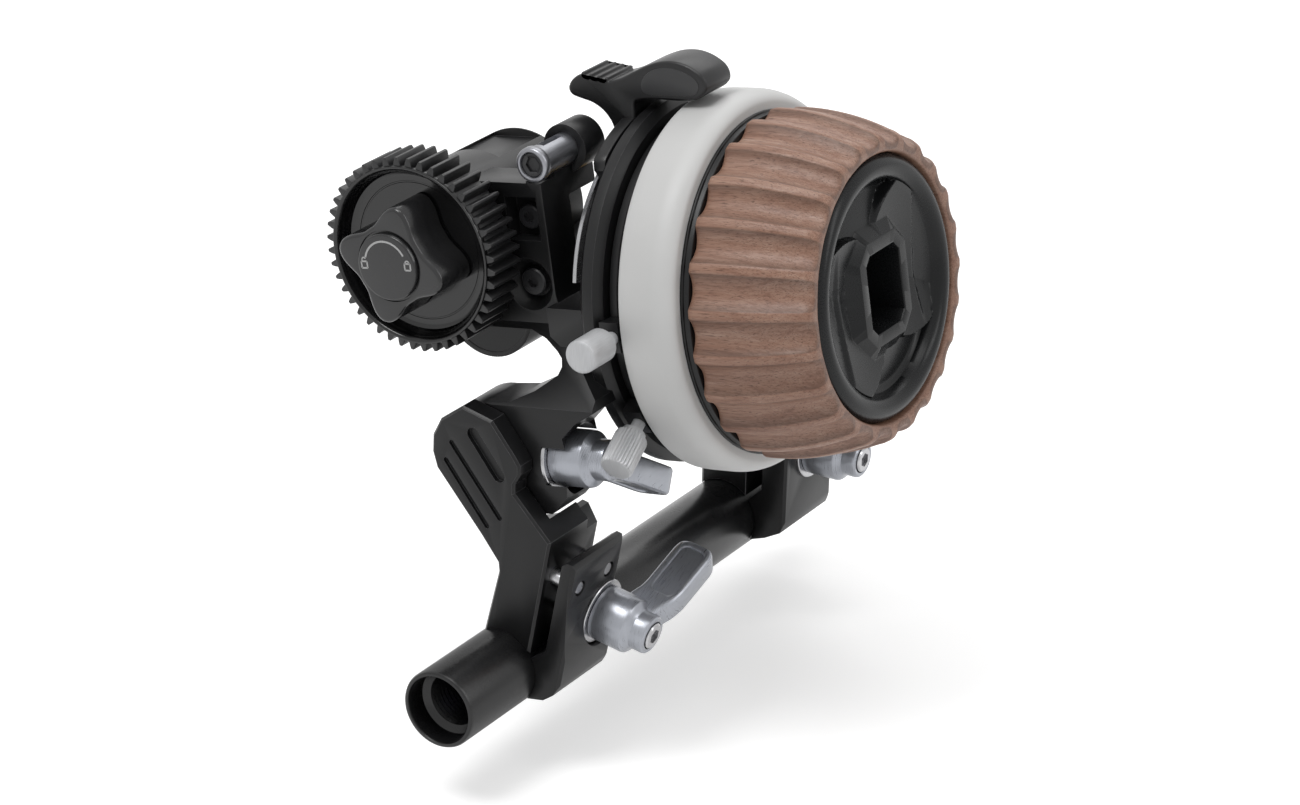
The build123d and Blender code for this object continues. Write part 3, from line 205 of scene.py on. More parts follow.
def quarter(steps):
    """Sine and cosine at even steps through a quarter turn, without its start."""
    return [(sin(pi / 2 * k / steps), cos(pi / 2 * k / steps)) for k in range(1, steps + 1)]


def rounded(points, r, steps=3):
    """Profile points with every corner that has room rounded by r (a number, or one for each point)."""
    made = []
    radii = r if isinstance(r, (list, tuple)) else [r] * len(points)
    for i, p in enumerate(points):
        b = Vector(p)
        u = Vector(points[i - 1]) - b
        v = Vector(points[(i + 1) % len(points)]) - b
        doubled = u.length < 1e-6 or v.length < 1e-6
        if radii[i] <= 0 or doubled or abs(u.normalized().cross(v.normalized())) < 0.02:
            made.append(tuple(b))
            continue
        d = min(radii[i], u.length * 0.45, v.length * 0.45)
        start = b + u.normalized() * d
        end = b + v.normalized() * d
        for k in range(steps + 1):
            t = k / steps
            made.append(tuple((1 - t)**2 * start + 2 * t * (1 - t) * b + t * t * end))
    return made


def merged(parts):
    """Several (vertices, faces) pairs as one."""
    verts, faces = [], []
    for v, f in parts:
        base = len(verts)
        verts += v
        faces += [tuple(i + base for i in face) for face in f]
    return verts, faces


def moved(part, matrix):
    """A (vertices, faces) pair moved by a matrix."""
    return [tuple(matrix @ Vector(v)) for v in part[0]], part[1]


def swapped(part, order):
    """A (vertices, faces) pair with its axes in another order."""
    return [tuple(v[k] for k in order) for v in part[0]], part[1]


def prism(outline, z0, z1, bevel, steps):
    """Plate from an outline in the first two axes, with rounded rims towards both faces."""
    levels = [(z0, bevel)] + [(z0 + bevel * (1 - c), bevel * (1 - s)) for s, c in quarter(steps)]
    levels += [(z1 - (z - z0), inset) for z, inset in reversed(levels)]
    ways = inward_ways(outline)
    return skin([inset_row(outline, ways, inset, z) for z, inset in levels], first=True, last=True)


def inset_row(outline, ways, inset, z):
    """An outline's points moved inwards by inset, at height z."""
    return [(p[0] + way[0] * inset, p[1] + way[1] * inset, z) for p, way in zip(outline, ways)]


def inward_ways(outline):
    """Directions that move an outline's points inwards, each as long as an inset of 1 needs."""
    ends = outline[1:] + outline[:1]
    area = sum(a[0] * b[1] - b[0] * a[1] for a, b in zip(outline, ends))
    hand = 1 if area > 0 else -1
    made = []
    for i in range(len(outline)):
        a, b, c = (Vector(outline[(i + k) % len(outline)][:2]) for k in (-1, 0, 1))
        u = (b - a).normalized()
        v = (c - b).normalized()
        before = Vector((-u.y, u.x)) * hand
        after = Vector((-v.y, v.x)) * hand
        middle = before + after
        if middle.length < 1e-6:
            middle = before
        middle.normalize()
        made.append(middle / max(0.35, middle.dot(before)))
    return made


def dressed(node, width, material):
    """A CAD node's own form with its sharp edges broken, as a piece that stands for it."""
    source = frame["nodes"][node]
    mesh = source.data.copy()
    bm = bmesh.new()
    bm.from_mesh(mesh)
    layer = bm.faces.layers.float.new("edge")
    bmesh.ops.remove_doubles(bm, verts=bm.verts, dist=3e-6)
    bmesh.ops.dissolve_limit(bm, angle_limit=radians(0.7), use_dissolve_boundaries=False, verts=bm.verts,
                             edges=bm.edges, delimit={"NORMAL"})
    edges = [e for e in bm.edges if len(e.link_faces) == 2 and e.calc_face_angle(0) > radians(24)]
    made = bmesh.ops.bevel(bm, geom=edges, offset=width * MM, segments=2, profile=0.6, affect="EDGES",
                           clamp_overlap=True, offset_type="OFFSET")
    for face in made["faces"]:
        face[layer] = 1.0
    bm.to_mesh(mesh)
    bm.free()
    mesh.name = node + "_finished"
    finish_piece(mesh.name, mesh, source["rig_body"], [node], material, 40)


# ---------------------------------------------------------------- materials
def new_material(name):
    """A material, its node tree and its shader."""
    m = bpy.data.materials.new(name)
    m.use_nodes = True
    tree = m.node_tree
    return m, tree, tree.nodes["Principled BSDF"]


def node(tree, kind, **settings):
    """A shader node with its settings."""
    made = tree.nodes.new(kind)
    for key, value in settings.items():
        setattr(made, key, value)
    return made


def coords(tree, scale, turn=None):
    """Row-frame coordinates in millimetres, divided by scale; turn is a place whose axes are used."""
    source = node(tree, "ShaderNodeTexCoord").outputs["Object"]
    mapping = node(tree, "ShaderNodeMapping", vector_type="POINT")
    inverse = turn.inverted() if turn else Matrix.Scale(1 / MM, 4)
    location, rotation, size = inverse.decompose()
    mapping.inputs["Rotation"].default_value = rotation.to_euler()
    mapping.inputs["Location"].default_value = location
    mapping.inputs["Scale"].default_value = size
    tree.links.new(source, mapping.inputs["Vector"])
    second = node(tree, "ShaderNodeMapping", vector_type="POINT")
    x, y, z = scale if isinstance(scale, tuple) else (scale,) * 3
    second.inputs["Scale"].default_value = Vector((1 / x, 1 / y, 1 / z))
    tree.links.new(mapping.outputs["Vector"], second.inputs["Vector"])
    return second.outputs["Vector"]


def noise(tree, vector, detail=3.0, rough=0.55, distortion=0.0):
    """Grey noise with one lump to a unit of the vector."""
    made = node(tree, "ShaderNodeTexNoise")
    made.inputs["Scale"].default_value = 1.0
    made.inputs["Detail"].default_value = detail
    made.inputs["Roughness"].default_value = rough
    made.inputs["Distortion"].default_value = distortion
    tree.links.new(vector, made.inputs["Vector"])
    return made.outputs["Fac"]


def ramp(tree, value, stops):
    """Colour ramp from (position, colour or grey) stops."""
    made = node(tree, "ShaderNodeValToRGB")
    while len(made.color_ramp.elements) < len(stops):
        made.color_ramp.elements.new(0.5)
    for element, (position, colour) in zip(made.color_ramp.elements, stops):
        element.position = position
        element.color = (*colour, 1) if isinstance(colour, tuple) else (colour,) * 3 + (1,)
    tree.links.new(value, made.inputs["Fac"])
    return made.outputs["Color"]


def blend(tree, factor, a, b, mode="MIX"):
    """Mix of two colours; each may be a socket or a colour."""
    made = node(tree, "ShaderNodeMix", data_type="RGBA", blend_type=mode)
    for socket, value in ((made.inputs[0], factor), (made.inputs[6], a), (made.inputs[7], b)):
        if isinstance(value, bpy.types.NodeSocket):
            tree.links.new(value, socket)
        else:
            socket.default_value = (*value, 1) if isinstance(value, (tuple, list)) else value
    return made.outputs[2]


def bump(tree, shader, height, strength, distance):
    """Links a bump of a distance in millimetres to the shader."""
    made = node(tree, "ShaderNodeBump")
    made.inputs["Strength"].default_value = strength
    made.inputs["Distance"].default_value = distance * MM
    tree.links.new(height, made.inputs["Height"])
    tree.links.new(made.outputs["Normal"], shader.inputs["Normal"])


def finish(tree, shader, colour, shade, rough):
    """Links the base colour, and a roughness that goes from one value to the other with a shade."""
    tree.links.new(colour, shader.inputs["Base Color"])
    tree.links.new(ramp(tree, shade, [(0.3, rough[0]), (0.7, rough[1])]), shader.inputs["Roughness"])


def tone(colour, factor):
    """A colour made darker or lighter."""
    return tuple(min(1, c * factor) for c in colour)


def srgb(*values):
    """Linear colour from 0-255 screen values."""
    shares = [v / 255 for v in values]
    return tuple(v / 12.92 if v <= 0.04045 else ((v + 0.055) / 1.055)**2.4 for v in shares)


def anodised(name, dark, light, rough, grain=0.12, shine=0.5):
    """Satin black anodised aluminium: fine blasted grain, faint handling marks, and lighter edges that are
    partly wear and partly a painted highlight.
    """
    m, tree, shader = new_material(name)
    fine = noise(tree, coords(tree, grain), 4, 0.6)
    broad = noise(tree, coords(tree, 9.0), 4, 0.6)
    patches = ramp(tree, noise(tree, coords(tree, 2.6), 3, 0.6), [(0.35, 0.35), (0.6, 0.9)])
    edge = node(tree, "ShaderNodeAttribute", attribute_name="edge").outputs["Fac"]
    # Lighter bevelled edges in patches: partly edge wear, partly a painted highlight along the edges.
    wear_and_painted_light = blend(tree, 1.0, edge, patches, "MULTIPLY")
    base = ramp(tree, broad, [(0.3, dark), (0.75, light)])
    finish(tree, shader, blend(tree, wear_and_painted_light, base, srgb(92, 92, 94)), blend(tree, 0.5, fine, broad), rough)
    shader.inputs["Specular IOR Level"].default_value = shine
    bump(tree, shader, fine, 0.16, 0.02)
    return m


def machined(name, colour, rough=(0.26, 0.4), metallic=1.0):
    """Machined metal with fine tool marks."""
    m, tree, shader = new_material(name)
    marks = noise(tree, coords(tree, (0.12, 3.0, 3.0)), 5, 0.65)
    broad = noise(tree, coords(tree, 5.0), 3, 0.5)
    shade = blend(tree, 0.35, marks, broad)
    base = ramp(tree, shade, [(0.25, tone(colour, 0.82)), (0.75, tone(colour, 1.12))])
    finish(tree, shader, base, shade, rough)
    shader.inputs["Metallic"].default_value = metallic
    bump(tree, shader, marks, 0.12, 0.012)
    return m


def moulded(name, colour, rough, depth=0.02, spread=0.12, shine=0.5):
    """Moulded plastic with a fine eroded grain."""
    m, tree, shader = new_material(name)
    fine = noise(tree, coords(tree, 0.25), 5, 0.6)
    broad = noise(tree, coords(tree, 14.0), 3, 0.5)
    base = ramp(tree, broad, [(0.3, tone(colour, 1 - spread)), (0.7, tone(colour, 1 + spread))])
    finish(tree, shader, base, blend(tree, 0.5, fine, broad), rough)
    shader.inputs["Specular IOR Level"].default_value = shine
    bump(tree, shader, fine, 0.2, depth)
    return m


def walnut():
    """Oiled walnut: long grain along the wheel axis, darker pores, painted shade on the flute walls beside
    the ridges and lighter worn ridge crests.
    """
    m, tree, shader = new_material("walnut")
    long_grain = noise(tree, coords(tree, (9.0, 0.4, 0.4), WHEEL), 5, 0.6, distortion=0.3)
    bands = noise(tree, coords(tree, (45.0, 2.2, 2.2), WHEEL), 4, 0.55, distortion=0.7)
    pores = noise(tree, coords(tree, (2.6, 0.13, 0.13), WHEEL), 3, 0.6)
    base = ramp(tree, blend(tree, 0.5, long_grain, bands),
                [(0.30, srgb(108, 73, 56)), (0.45, srgb(138, 102, 84)), (0.56, srgb(152, 118, 100)),
                 (0.74, srgb(172, 142, 126))])
    tinted = blend(tree, ramp(tree, pores, [(0.35, 0.0), (0.45, 1.0)]), srgb(96, 66, 52), base)
    ridge = node(tree, "ShaderNodeAttribute", attribute_name="ridge").outputs["Fac"]
    # Painted shade: darker on the steep flute walls next to each ridge; the ridge crests are a little
    # lighter, as wear.
    wear_and_painted_light = ramp(tree, ridge, [(0.0, 1.0), (0.25, 0.94), (0.85, 0.6), (0.97, 1.05)])
    finish(tree, shader, blend(tree, 1.0, tinted, wear_and_painted_light, "MULTIPLY"), long_grain, (0.52, 0.4))
    bump(tree, shader, blend(tree, 0.5, pores, long_grain), 0.35, 0.08)
    return m


BLACK = anodised("black_anodised", srgb(17, 17, 18), srgb(25, 25, 26), rough=(0.3, 0.4), shine=0.3)
BLACK_ROD = anodised("black_rod", srgb(13, 13, 14), srgb(19, 19, 20), rough=(0.24, 0.32), grain=0.1,
                     shine=0.42)
SILVER = machined("silver_lever", srgb(162, 165, 172), rough=(0.24, 0.36), metallic=0.62)
PIN_SILVER = machined("pin_silver", srgb(146, 147, 152), rough=(0.3, 0.42))
STEEL = machined("turned_steel", srgb(178, 178, 180), rough=(0.22, 0.34))
BRASS = machined("turned_brass", srgb(196, 160, 92), rough=(0.25, 0.38))
GROUND = machined("ground_steel", srgb(186, 186, 189), rough=(0.14, 0.24))
HUB = machined("hub_aluminium", srgb(160, 160, 164))
SCREW = anodised("black_oxide", srgb(30, 30, 32), srgb(42, 42, 44), rough=(0.3, 0.42))
STOP_GREY = machined("stop_grey", srgb(188, 189, 191), rough=(0.4, 0.52), metallic=0.3)
GEAR_BLACK = moulded("gear_black", srgb(30, 30, 31), rough=(0.32, 0.44))
DISH_BLACK = moulded("dish_gloss", srgb(15, 15, 16), rough=(0.12, 0.2), depth=0.008)
KNOB_BLACK = moulded("knob_gloss", srgb(32, 32, 33), rough=(0.15, 0.23), depth=0.01)
CAP_GREY = moulded("cap_grey", srgb(25, 26, 27), rough=(0.22, 0.32), depth=0.012, shine=0.22)
PANEL = moulded("pointer_panel", srgb(54, 54, 55), rough=(0.36, 0.46), shine=0.4)
POINTER = moulded("pointer_black", srgb(22, 22, 23), rough=(0.3, 0.42), shine=0.4)
RING_LIGHT = moulded("ring_light", srgb(204, 204, 203), rough=(0.42, 0.54), spread=0.02, depth=0.01)
PRINT = moulded("print_grey", srgb(176, 176, 176), rough=(0.5, 0.6), spread=0.05)
WALNUT = walnut()


# ---------------------------------------------------------------- handwheel
def wood_grip():
    """Fluted and crowned wooden grip: narrow round ridges and wide hollows."""
    x0, x1 = reach("wood_grip", WHEEL, 0)
    x1 -= 0.22                                          # keeps the rounder corner inside the CAD box
    top = radius("wood_grip", WHEEL)
    bore, cap_bore = SLEEVE_R + 0.05, CAP_R + 0.03
    middle, bend = 44.8 + WHEEL_SHIFT, 0.0106           # of the crown
    flutes, flute_steps, flute_depth = 24, 24, 1.6
    start, corner = 1.4, 3.0
    front = x1 - corner

    def crown(x):
        return top - bend * (x - middle)**2

    rear_edge = ((0.02, 0.9), (0.12, 0.55), (0.35, 0.25), (0.8, 0.05), (start, 0.0))
    profile = [(x0 + along, crown(x0 + along) - drop, 1.0) for along, drop in rear_edge]
    for k in range(1, 19):
        x = x0 + start + (front - x0 - start) * k / 18
        profile.append((x, crown(x), 1.0))
    slope = 2 * bend * (front - middle) * 0.6
    fall = crown(front) - slope * corner - CAP_R - 2.2
    for s, c in quarter(8):
        r = crown(front) - slope * corner * s - fall * (1 - c)
        profile.append((front + corner * s, r, 1 - 0.55 * (1 - c)))
    profile += [(x1, CAP_R + 1.2, 0.25), (x1 - 0.15, CAP_R + 0.45, 0.05), (x1 - 0.6, cap_bore, 0.0),
                (CAP_SEAT, cap_bore, 0.0), (CAP_SEAT, bore, 0.0), (x0, bore, 0.0),
                (x0, crown(x0) - 2.6, 0.0)]
    rows, ridge = [], []
    for i in range(flutes * flute_steps):
        a = 2 * pi * i / (flutes * flute_steps)
        away = abs(i % flute_steps / flute_steps - 0.5) * 2         # 1 in a hollow, 0 on a ridge
        across = max(0.0, (away - 0.2) / 0.8)
        hollow = (1 - (1 - across)**2)**0.9
        cut = [(x, r - flute_depth * hollow * deep) for x, r, deep in profile]
        rows.append([(x, r * cos(a), r * sin(a)) for x, r in cut])
        ridge += [1 - hollow * deep for _, _, deep in profile]
    verts, faces = skin(rows, around=True)
    mesh = bpy.data.meshes.new("grip_wood")
    mesh.from_pydata([WHEEL @ Vector(v) for v in verts], [], faces)
    mesh.attributes.new("ridge", "FLOAT", "POINT").data.foreach_set("value", ridge)
    bm = bmesh.new()
    bm.from_mesh(mesh)
    bmesh.ops.recalc_face_normals(bm, faces=bm.faces)
    bm.to_mesh(mesh)
    bm.free()
    finish_piece("grip_wood", mesh, "wheel", ["wood_grip"], WALNUT, 50)


def marking_ring():
    """Light marking ring with a soft front shoulder and a fine rear chamfer."""
    x0, x1 = reach("marking_ring", WHEEL, 0)
    r = radius("marking_ring", WHEEL)
    bore, front_r, shoulder = 27.04, 32.6, 4.4
    profile = [(x0, bore), (x0, r - 0.75), (x0 + 0.08, r - 0.5), (x0 + 0.3, r - 0.22), (x0 + 0.7, r - 0.1),
               (x0 + 2.0, r), (x1 - shoulder, r)]
    profile += [(x1 - shoulder * (1 - s), r - (r - front_r) * (1 - c)) for s, c in quarter(14)]
    profile.append((x1, bore))
    ring = lathe(profile, 192)
    solid("ring_marking", ring, WHEEL, "wheel", ["marking_ring"], RING_LIGHT, 40)


def grip_collar():
    """Black collar with a fine bright-catching lip in front of the ring."""
    x0, x1 = reach("grip_collar", WHEEL, 0)
    r = radius("grip_collar", WHEEL)
    bore = SLEEVE_R + 0.05
    corners = [(x0, bore), (x0, r), (x0 + 0.55, r), (x0 + 0.6, r - 0.45), (x1, r - 0.6), (x1, bore)]
    collar = lathe(rounded(corners, [0, 0.15, 0.2, 0.1, 0.2, 0]), 160)
    solid("collar_black", collar, WHEEL, "wheel", ["grip_collar"], BLACK, 40)


def clamped(value):
    """The value, held between 0 and 1."""
    return max(0.0, min(1.0, value))


def mixed(a, b, share):
    """From a at a share of 0 to b at a share of 1."""
    return a + (b - a) * share


def cap_height(y, z, rim, high):
    """Height of the cap's front at a point: two pockets and two raised vanes, the same after half a turn.

    A vane starts at the angle rise, falls to its crease, climbs to its crest at the angle drop and ends
    there. The pocket after it reaches to the wall of the next vane. The angles, in degrees, change with rho,
    the distance from the axis as a share of the rim's radius.
    """
    vane_fall, vane_notch, crest_fall, pocket = 1.0, 0.7, 0.25, 2.7
    rho = hypot(y, z) / rim
    rise = 24.6 - 20.6 * (1 - rho) / 0.383
    crease = 106.5 - 9.5 * (1.05 - rho) / 0.47 - rise
    drop = 123.6 + 38.4 * (1 - rho) / 0.5 - rise
    angle = degrees(atan2(y, z)) - rise
    t = angle % 180.0
    side = 1 if angle % 360.0 < 180.0 else -1
    wall, lip = (degrees(width / (rho * rim)) for width in (0.75, 0.45))
    near_boss = clamped((0.95 - rho) / 0.35)
    start = high - 0.9 * near_boss
    crest = high - crest_fall - 0.5 * near_boss
    floor = high - pocket + min(1.0, (1 - rho) / 0.4)
    vane = start - vane_fall * min(1.0, t / crease)**1.4
    vane -= vane_notch * clamped((side * y / rim - 0.69) / 0.05) * min(1.0, t / 12.0)
    if t < crease:
        return vane
    if t < drop:
        return mixed(vane, crest, (t - crease) / (drop - crease))
    if t < drop + lip:
        return mixed(crest, floor, (t - drop) / lip)
    if t > 180.0 - wall:
        return mixed(floor, start, (t - 180.0 + wall) / wall)
    return floor


def front_cap():
    """Cap: round rim, two pockets with raised vanes and the bevelled socket boss."""
    _, top = reach("front_cap", WHEEL, 0)
    r = radius("front_cap", WHEEL)
    socket_y, socket_z, cut = 11.8 / 2, 14.6 / 2, 1.6
    shoulder, inner_drop = 3.1, 1.7
    crown, rim_in, high = r - 2.5, r - 4.9, top - 1.0
    crest_out, crest_cut = 2.4, 1.6                     # of the boss round the socket
    boss_out, boss_cut = 4.9, 4.2
    fillet_r, fillet_top = 1.7, top - 1.65
    socket_floor, back_r = CAP_SEAT - 4.3, 12.4
    steps, face_steps = 720, 24
    rim = [(CAP_SEAT, r), (top - shoulder, r)]
    rim += [(top - shoulder + shoulder * s, crown + (r - crown) * c) for s, c in quarter(12)]
    rim += [(top - inner_drop * (1 - c), crown - (crown - rim_in - 0.15) * s) for s, c in quarter(8)[:-1]]
    rows = []
    for i in range(steps):
        c, s = cos(2 * pi * i / steps), sin(2 * pi * i / steps)
        inner = octagon_reach(c, s, socket_y, socket_z, cut)
        crest = octagon_reach(c, s, socket_y + crest_out, socket_z + crest_out, cut + crest_cut)
        outer = octagon_reach(c, s, socket_y + boss_out, socket_z + boss_out, cut + boss_cut)
        line = list(rim)
        for k in range(face_steps + 1):
            rr = mixed(rim_in, outer, k / face_steps)
            x = cap_height(rr * c, rr * s, rim_in, high)
            fillet = max(0.0, 1 - (rim_in - rr) / fillet_r)
            x += max(0.0, fillet_top - x) * (1 - sqrt(max(0.0, 1 - fillet**2)))
            line.append((x, rr))
        line += [(max(x, high - 1.75), outer - 0.12), (top - 0.75, crest + 0.12), (top - 0.62, crest),
                 (top - 0.6, crest - 0.2), (top - 0.6, inner + 0.36), (top - 0.7, inner + 0.12),
                 (top - 1.0, inner), (CAP_SEAT - 2.0, inner), (socket_floor, inner), (socket_floor, back_r),
                 (CAP_SEAT - 0.02, back_r)]
        rows.append([(x, rr * c, rr * s) for x, rr in line])
    under = socket_floor - 0.1
    floor = lathe([(under, 0), (under, back_r), (socket_floor, back_r), (socket_floor, 0)], 64)
    cap = merged([skin(rows, around=True), floor])
    solid("cap_front", cap, WHEEL, "wheel", ["front_cap"], CAP_GREY, 24)


def octagon_reach(c, s, w, h, cut):
    """Distance from the centre to a cut-corner rectangle, in the direction (c, s)."""
    tiny = 1e-9
    return min(w / max(abs(c), tiny), h / max(abs(s), tiny), (w + h - cut) / (abs(c) + abs(s)))


# ---------------------------------------------------------------- drive gear and lock knob
def gear_dish():
    """Glossy dish let into the front of the gear: bead, wall and a floor with a groove."""
    y0, _ = reach("drive_gear", DRIVE, 1)
    rim, floor_r, groove = 16.9, 15.2, 13.2
    floor = y0 + 3.05
    lip = [(0.5, 0.0), (-0.2, 0.05), (-0.36, 0.14), (-0.42, 0.32), (-0.38, 0.52), (-0.2, 0.76), (0.1, 1.0),
           (0.5, 1.2), (0.95, 1.36), (1.1, 1.5)]
    wall = [(-0.9, -0.05), (-0.3, 0.25), (-0.06, 0.8), (0.0, 1.3)]
    profile = [(floor + 0.12, 0.0), (floor + 0.12, rim - 1.6)]
    profile += [(y0 + along, rim - inset) for along, inset in lip]
    profile += [(floor + along, floor_r - inset) for along, inset in wall]
    profile += [(floor, groove), (floor + 0.1, groove - 0.08), (floor + 0.1, groove - 0.3),
                (floor, groove - 0.38), (floor, 0.0)]
    solid("gear_dish", lathe(profile, 160, "y"), DRIVE, "drive", (), DISH_BLACK, 35)


def lock_knob():
    """Knob of four round lobes, with round edges and a raised disc in a fine groove."""
    y0, y1 = reach("lock_knob", DRIVE, 1)
    inner, outer, turn = 7.7, 11.3, radians(16.0)       # the first lobe leans towards the handwheel
    steps = 144
    circle = [(sin(2 * pi * k / steps + turn), cos(2 * pi * k / steps + turn)) for k in range(steps)]
    outline = []
    for k, (x, z) in enumerate(circle):
        r = inner + (outer - inner) * ((1 + cos(8 * pi * k / steps)) / 2)**1.5
        outline.append((r * x, r * z))
    face, groove = y0 + 0.9, 6.75
    levels = [(y1, 0.2), (y1 - 0.3, -0.05), (face + 0.6, 0.0), (face + 0.25, 0.17), (face + 0.06, 0.45),
              (face, 0.75)]
    disc = [(face, groove), (face + 0.35, groove - 0.08), (face + 0.35, groove - 0.42),
            (y0 + 0.2, groove - 0.5), (y0 + 0.05, groove - 0.62), (y0, groove - 0.85)]
    ways = inward_ways(outline)
    rows = [[(x, y, z) for x, z, y in inset_row(outline, ways, inset, y)] for y, inset in levels]
    rows += [[(r * x, y, r * z) for x, z in circle] for y, r in disc]
    knob = skin(rows, first=True, last=True)
    solid("knob_lobed", knob, DRIVE, "lock_knob", ["lock_knob"], KNOB_BLACK, 40)
    knob_print(y0)


def band(points, width, y0, y1):
    """Flat printed stroke along points in the face plane."""
    rows = []
    for i, p in enumerate(points):
        a = Vector(points[max(0, i - 1)])
        b = Vector(points[min(len(points) - 1, i + 1)])
        u = (b - a).normalized() * width / 2
        left, right = (p[0] - u.y, p[1] + u.x), (p[0] + u.y, p[1] - u.x)
        rows.append([(x, y, z) for (x, z), y in ((left, y0), (right, y0), (right, y1), (left, y1))])
    return skin(rows, first=True, last=True)


def knob_print(y0):
    """Printed turning arc between an open and a closed padlock."""
    top, under = y0 - 0.035, y0 + 0.03
    arc_r, middle_z, lock_x, half = 4.55, 0.35, 4.75, 0.62
    turns = [radians(a) for a in range(-72, 66, 4)]
    parts = [band([(arc_r * sin(a), middle_z + arc_r * cos(a)) for a in turns], 0.36, top, under)]
    for x, lift, start in ((-lock_x, 0.25, 30), (lock_x, 0.0, 0)):
        low, high = middle_z - half, middle_z + half
        square = [(x - half, low), (x + half, low), (x + half, high), (x - half, high), (x - half, low)]
        parts += [band(square[i:i + 2], 0.3, top, under) for i in range(4)]
        turns = [radians(a) for a in range(start, 200, 20)]
        bow = [(x + 0.42 * cos(a), high + lift + 0.5 * sin(a)) for a in turns]
        parts.append(band(bow, 0.24, top, under))
    solid("knob_marks", merged(parts), DRIVE, "lock_knob", (), PRINT, 60)


# ---------------------------------------------------------------- clamping levers
def wing_lever(name, at, body, node_name, turn):
    """Clamping lever: round stepped hub, waisted wing with a bevelled border and a sunk panel."""
    hub_r, hub_end, thick, tip = 5.3, 11.6, 5.3, 21.0
    washer, bore, screw_r, bevel, deep = 0.6, 3.0, 1.6, 0.75, 0.35
    hub = [(washer, bore), (washer, hub_r - 0.35), (washer + 0.12, hub_r - 0.1), (washer + 0.4, hub_r)]
    boss = [(4.6, 0.0), (4.1, 0.12), (3.7, 0.5), (3.35, 1.1), (2.9, 1.45), (2.3, 1.5), (0.7, 1.5),
            (0.25, 1.65), (0.0, 2.0)]
    hub += [(hub_end - back, hub_r - inset) for back, inset in boss]
    hub += [(hub_end - 0.05, 2.75), (hub_end - 1.25, 2.6), (hub_end - 1.3, screw_r), (8.4, screw_r),
            (8.4, bore)]
    side = [(3.4, 1.5), (3.6, 5.6), (4.3, 7.0), (4.5, 9.0), (4.5, tip - 2.6), (4.8, tip - 1.0),
            (5.9, tip - 0.25), (7.2, tip), (10.4, tip), (11.5, tip - 0.5), (12.0, tip - 1.8), (12.0, 9.4),
            (11.5, 6.6), (10.6, 4.4), (10.0, 1.5)]
    panel = [(6.0, 8.2), (5.9, tip - 2.3), (6.7, tip - 1.5), (10.2, tip - 1.5), (11.0, tip - 2.3),
             (11.0, 8.6), (10.2, 7.6), (6.8, 7.4)]
    wing = framed(rounded(side, 0.8), rounded(panel, 0.5, 2), thick / 2, bevel, deep)
    lever = moved(merged([lathe(hub, 72), wing]), Matrix.Rotation(radians(turn), 4, "X"))
    solid(name, lever, at, body, [node_name], SILVER, 28)


def resampled(points, count):
    """A closed line cut into a number of points, evenly by angle about its middle."""
    cx = sum(p[0] for p in points) / len(points)
    cy = sum(p[1] for p in points) / len(points)
    around = [Vector((p[0] - cx, p[1] - cy)) for p in points]
    made = []
    for i in range(count):
        d = Vector((cos(2 * pi * i / count), sin(2 * pi * i / count)))
        best = 0.0
        for p, q in zip(around, around[1:] + around[:1]):
            e = q - p
            cross = d.x * e.y - d.y * e.x
            if abs(cross) < 1e-12:
                continue
            t = (p.x * e.y - p.y * e.x) / cross
            u = (p.x * d.y - p.y * d.x) / cross
            if t > 0 and -1e-6 <= u <= 1 + 1e-6:
                best = max(best, t)
        made.append((cx + best * d.x, cy + best * d.y))
    return made


def framed(outline, panel, half, bevel, deep):
    """Plate with round rims and a sunk panel in both faces."""
    count = 96
    rim, inner = resampled(outline, count), resampled(panel, count)
    rim_ways, inner_ways = inward_ways(rim), inward_ways(inner)
    sunk = [(0.3, half - deep - 0.03), (0.1, half - deep), (0.0, half - 0.1), (-0.28, half)]
    edge = [(bevel, half)] + [(bevel * (1 - s), half - bevel * (1 - c)) for s, c in quarter(3)]
    rows = [inset_row(inner, inner_ways, inset, z) for inset, z in sunk]
    rows += [inset_row(rim, rim_ways, inset, z) for inset, z in edge]
    rows += [[(x, y, -z) for x, y, z in row] for row in reversed(rows)]
    return skin(rows, first=True, last=True)


# ---------------------------------------------------------------- hard stops
def stop_screw(name, at, turn, body, node_name, knurled):
    """Stop screw: thin stem and a round head, smooth or with fine knurls."""
    a = radians(turn)
    out = Vector((0, -cos(a), -sin(a)))
    along = Vector((1, 0, 0))
    axis = Matrix((out, along, out.cross(along))).transposed().to_4x4()
    head_in, head_out, head_r, neck, stem, stem_in = 2.0, 9.6, 3.1, 2.2, 1.2, -3.9
    knurl = (0.0, 0.05, 0.2, 0.28, 0.2, 0.05)
    steps = 28 * len(knurl)
    profile = [(stem_in, 0.0), (stem_in, stem), (head_in - 1.4, stem), (head_in - 1.0, neck),
               (head_in, neck), (head_in, head_r - 0.45), (head_in + 0.15, head_r - 0.15),
               (head_in + 0.45, head_r)]
    profile += [(head_in + 0.45 + (head_out - head_in - 1.1) * k / 4, head_r) for k in range(1, 5)]
    profile += [(head_out - 0.3, head_r - 0.12), (head_out - 0.08, head_r - 0.38), (head_out, head_r - 0.8),
                (head_out, 0.0)]
    rows = []
    for i in range(steps):
        b = 2 * pi * i / steps
        row = []
        for x, r in profile:
            if knurled and r > head_r - 0.4 and head_in + 0.3 < x < head_out - 0.1:
                r -= knurl[i % len(knurl)]
            row.append((x, r * cos(b), r * sin(b)))
        rows.append(row)
    screw = clean_faces(*skin(rows, around=True, closed=False))
    solid(name, screw, at @ axis, body, [node_name], STOP_GREY, 30)


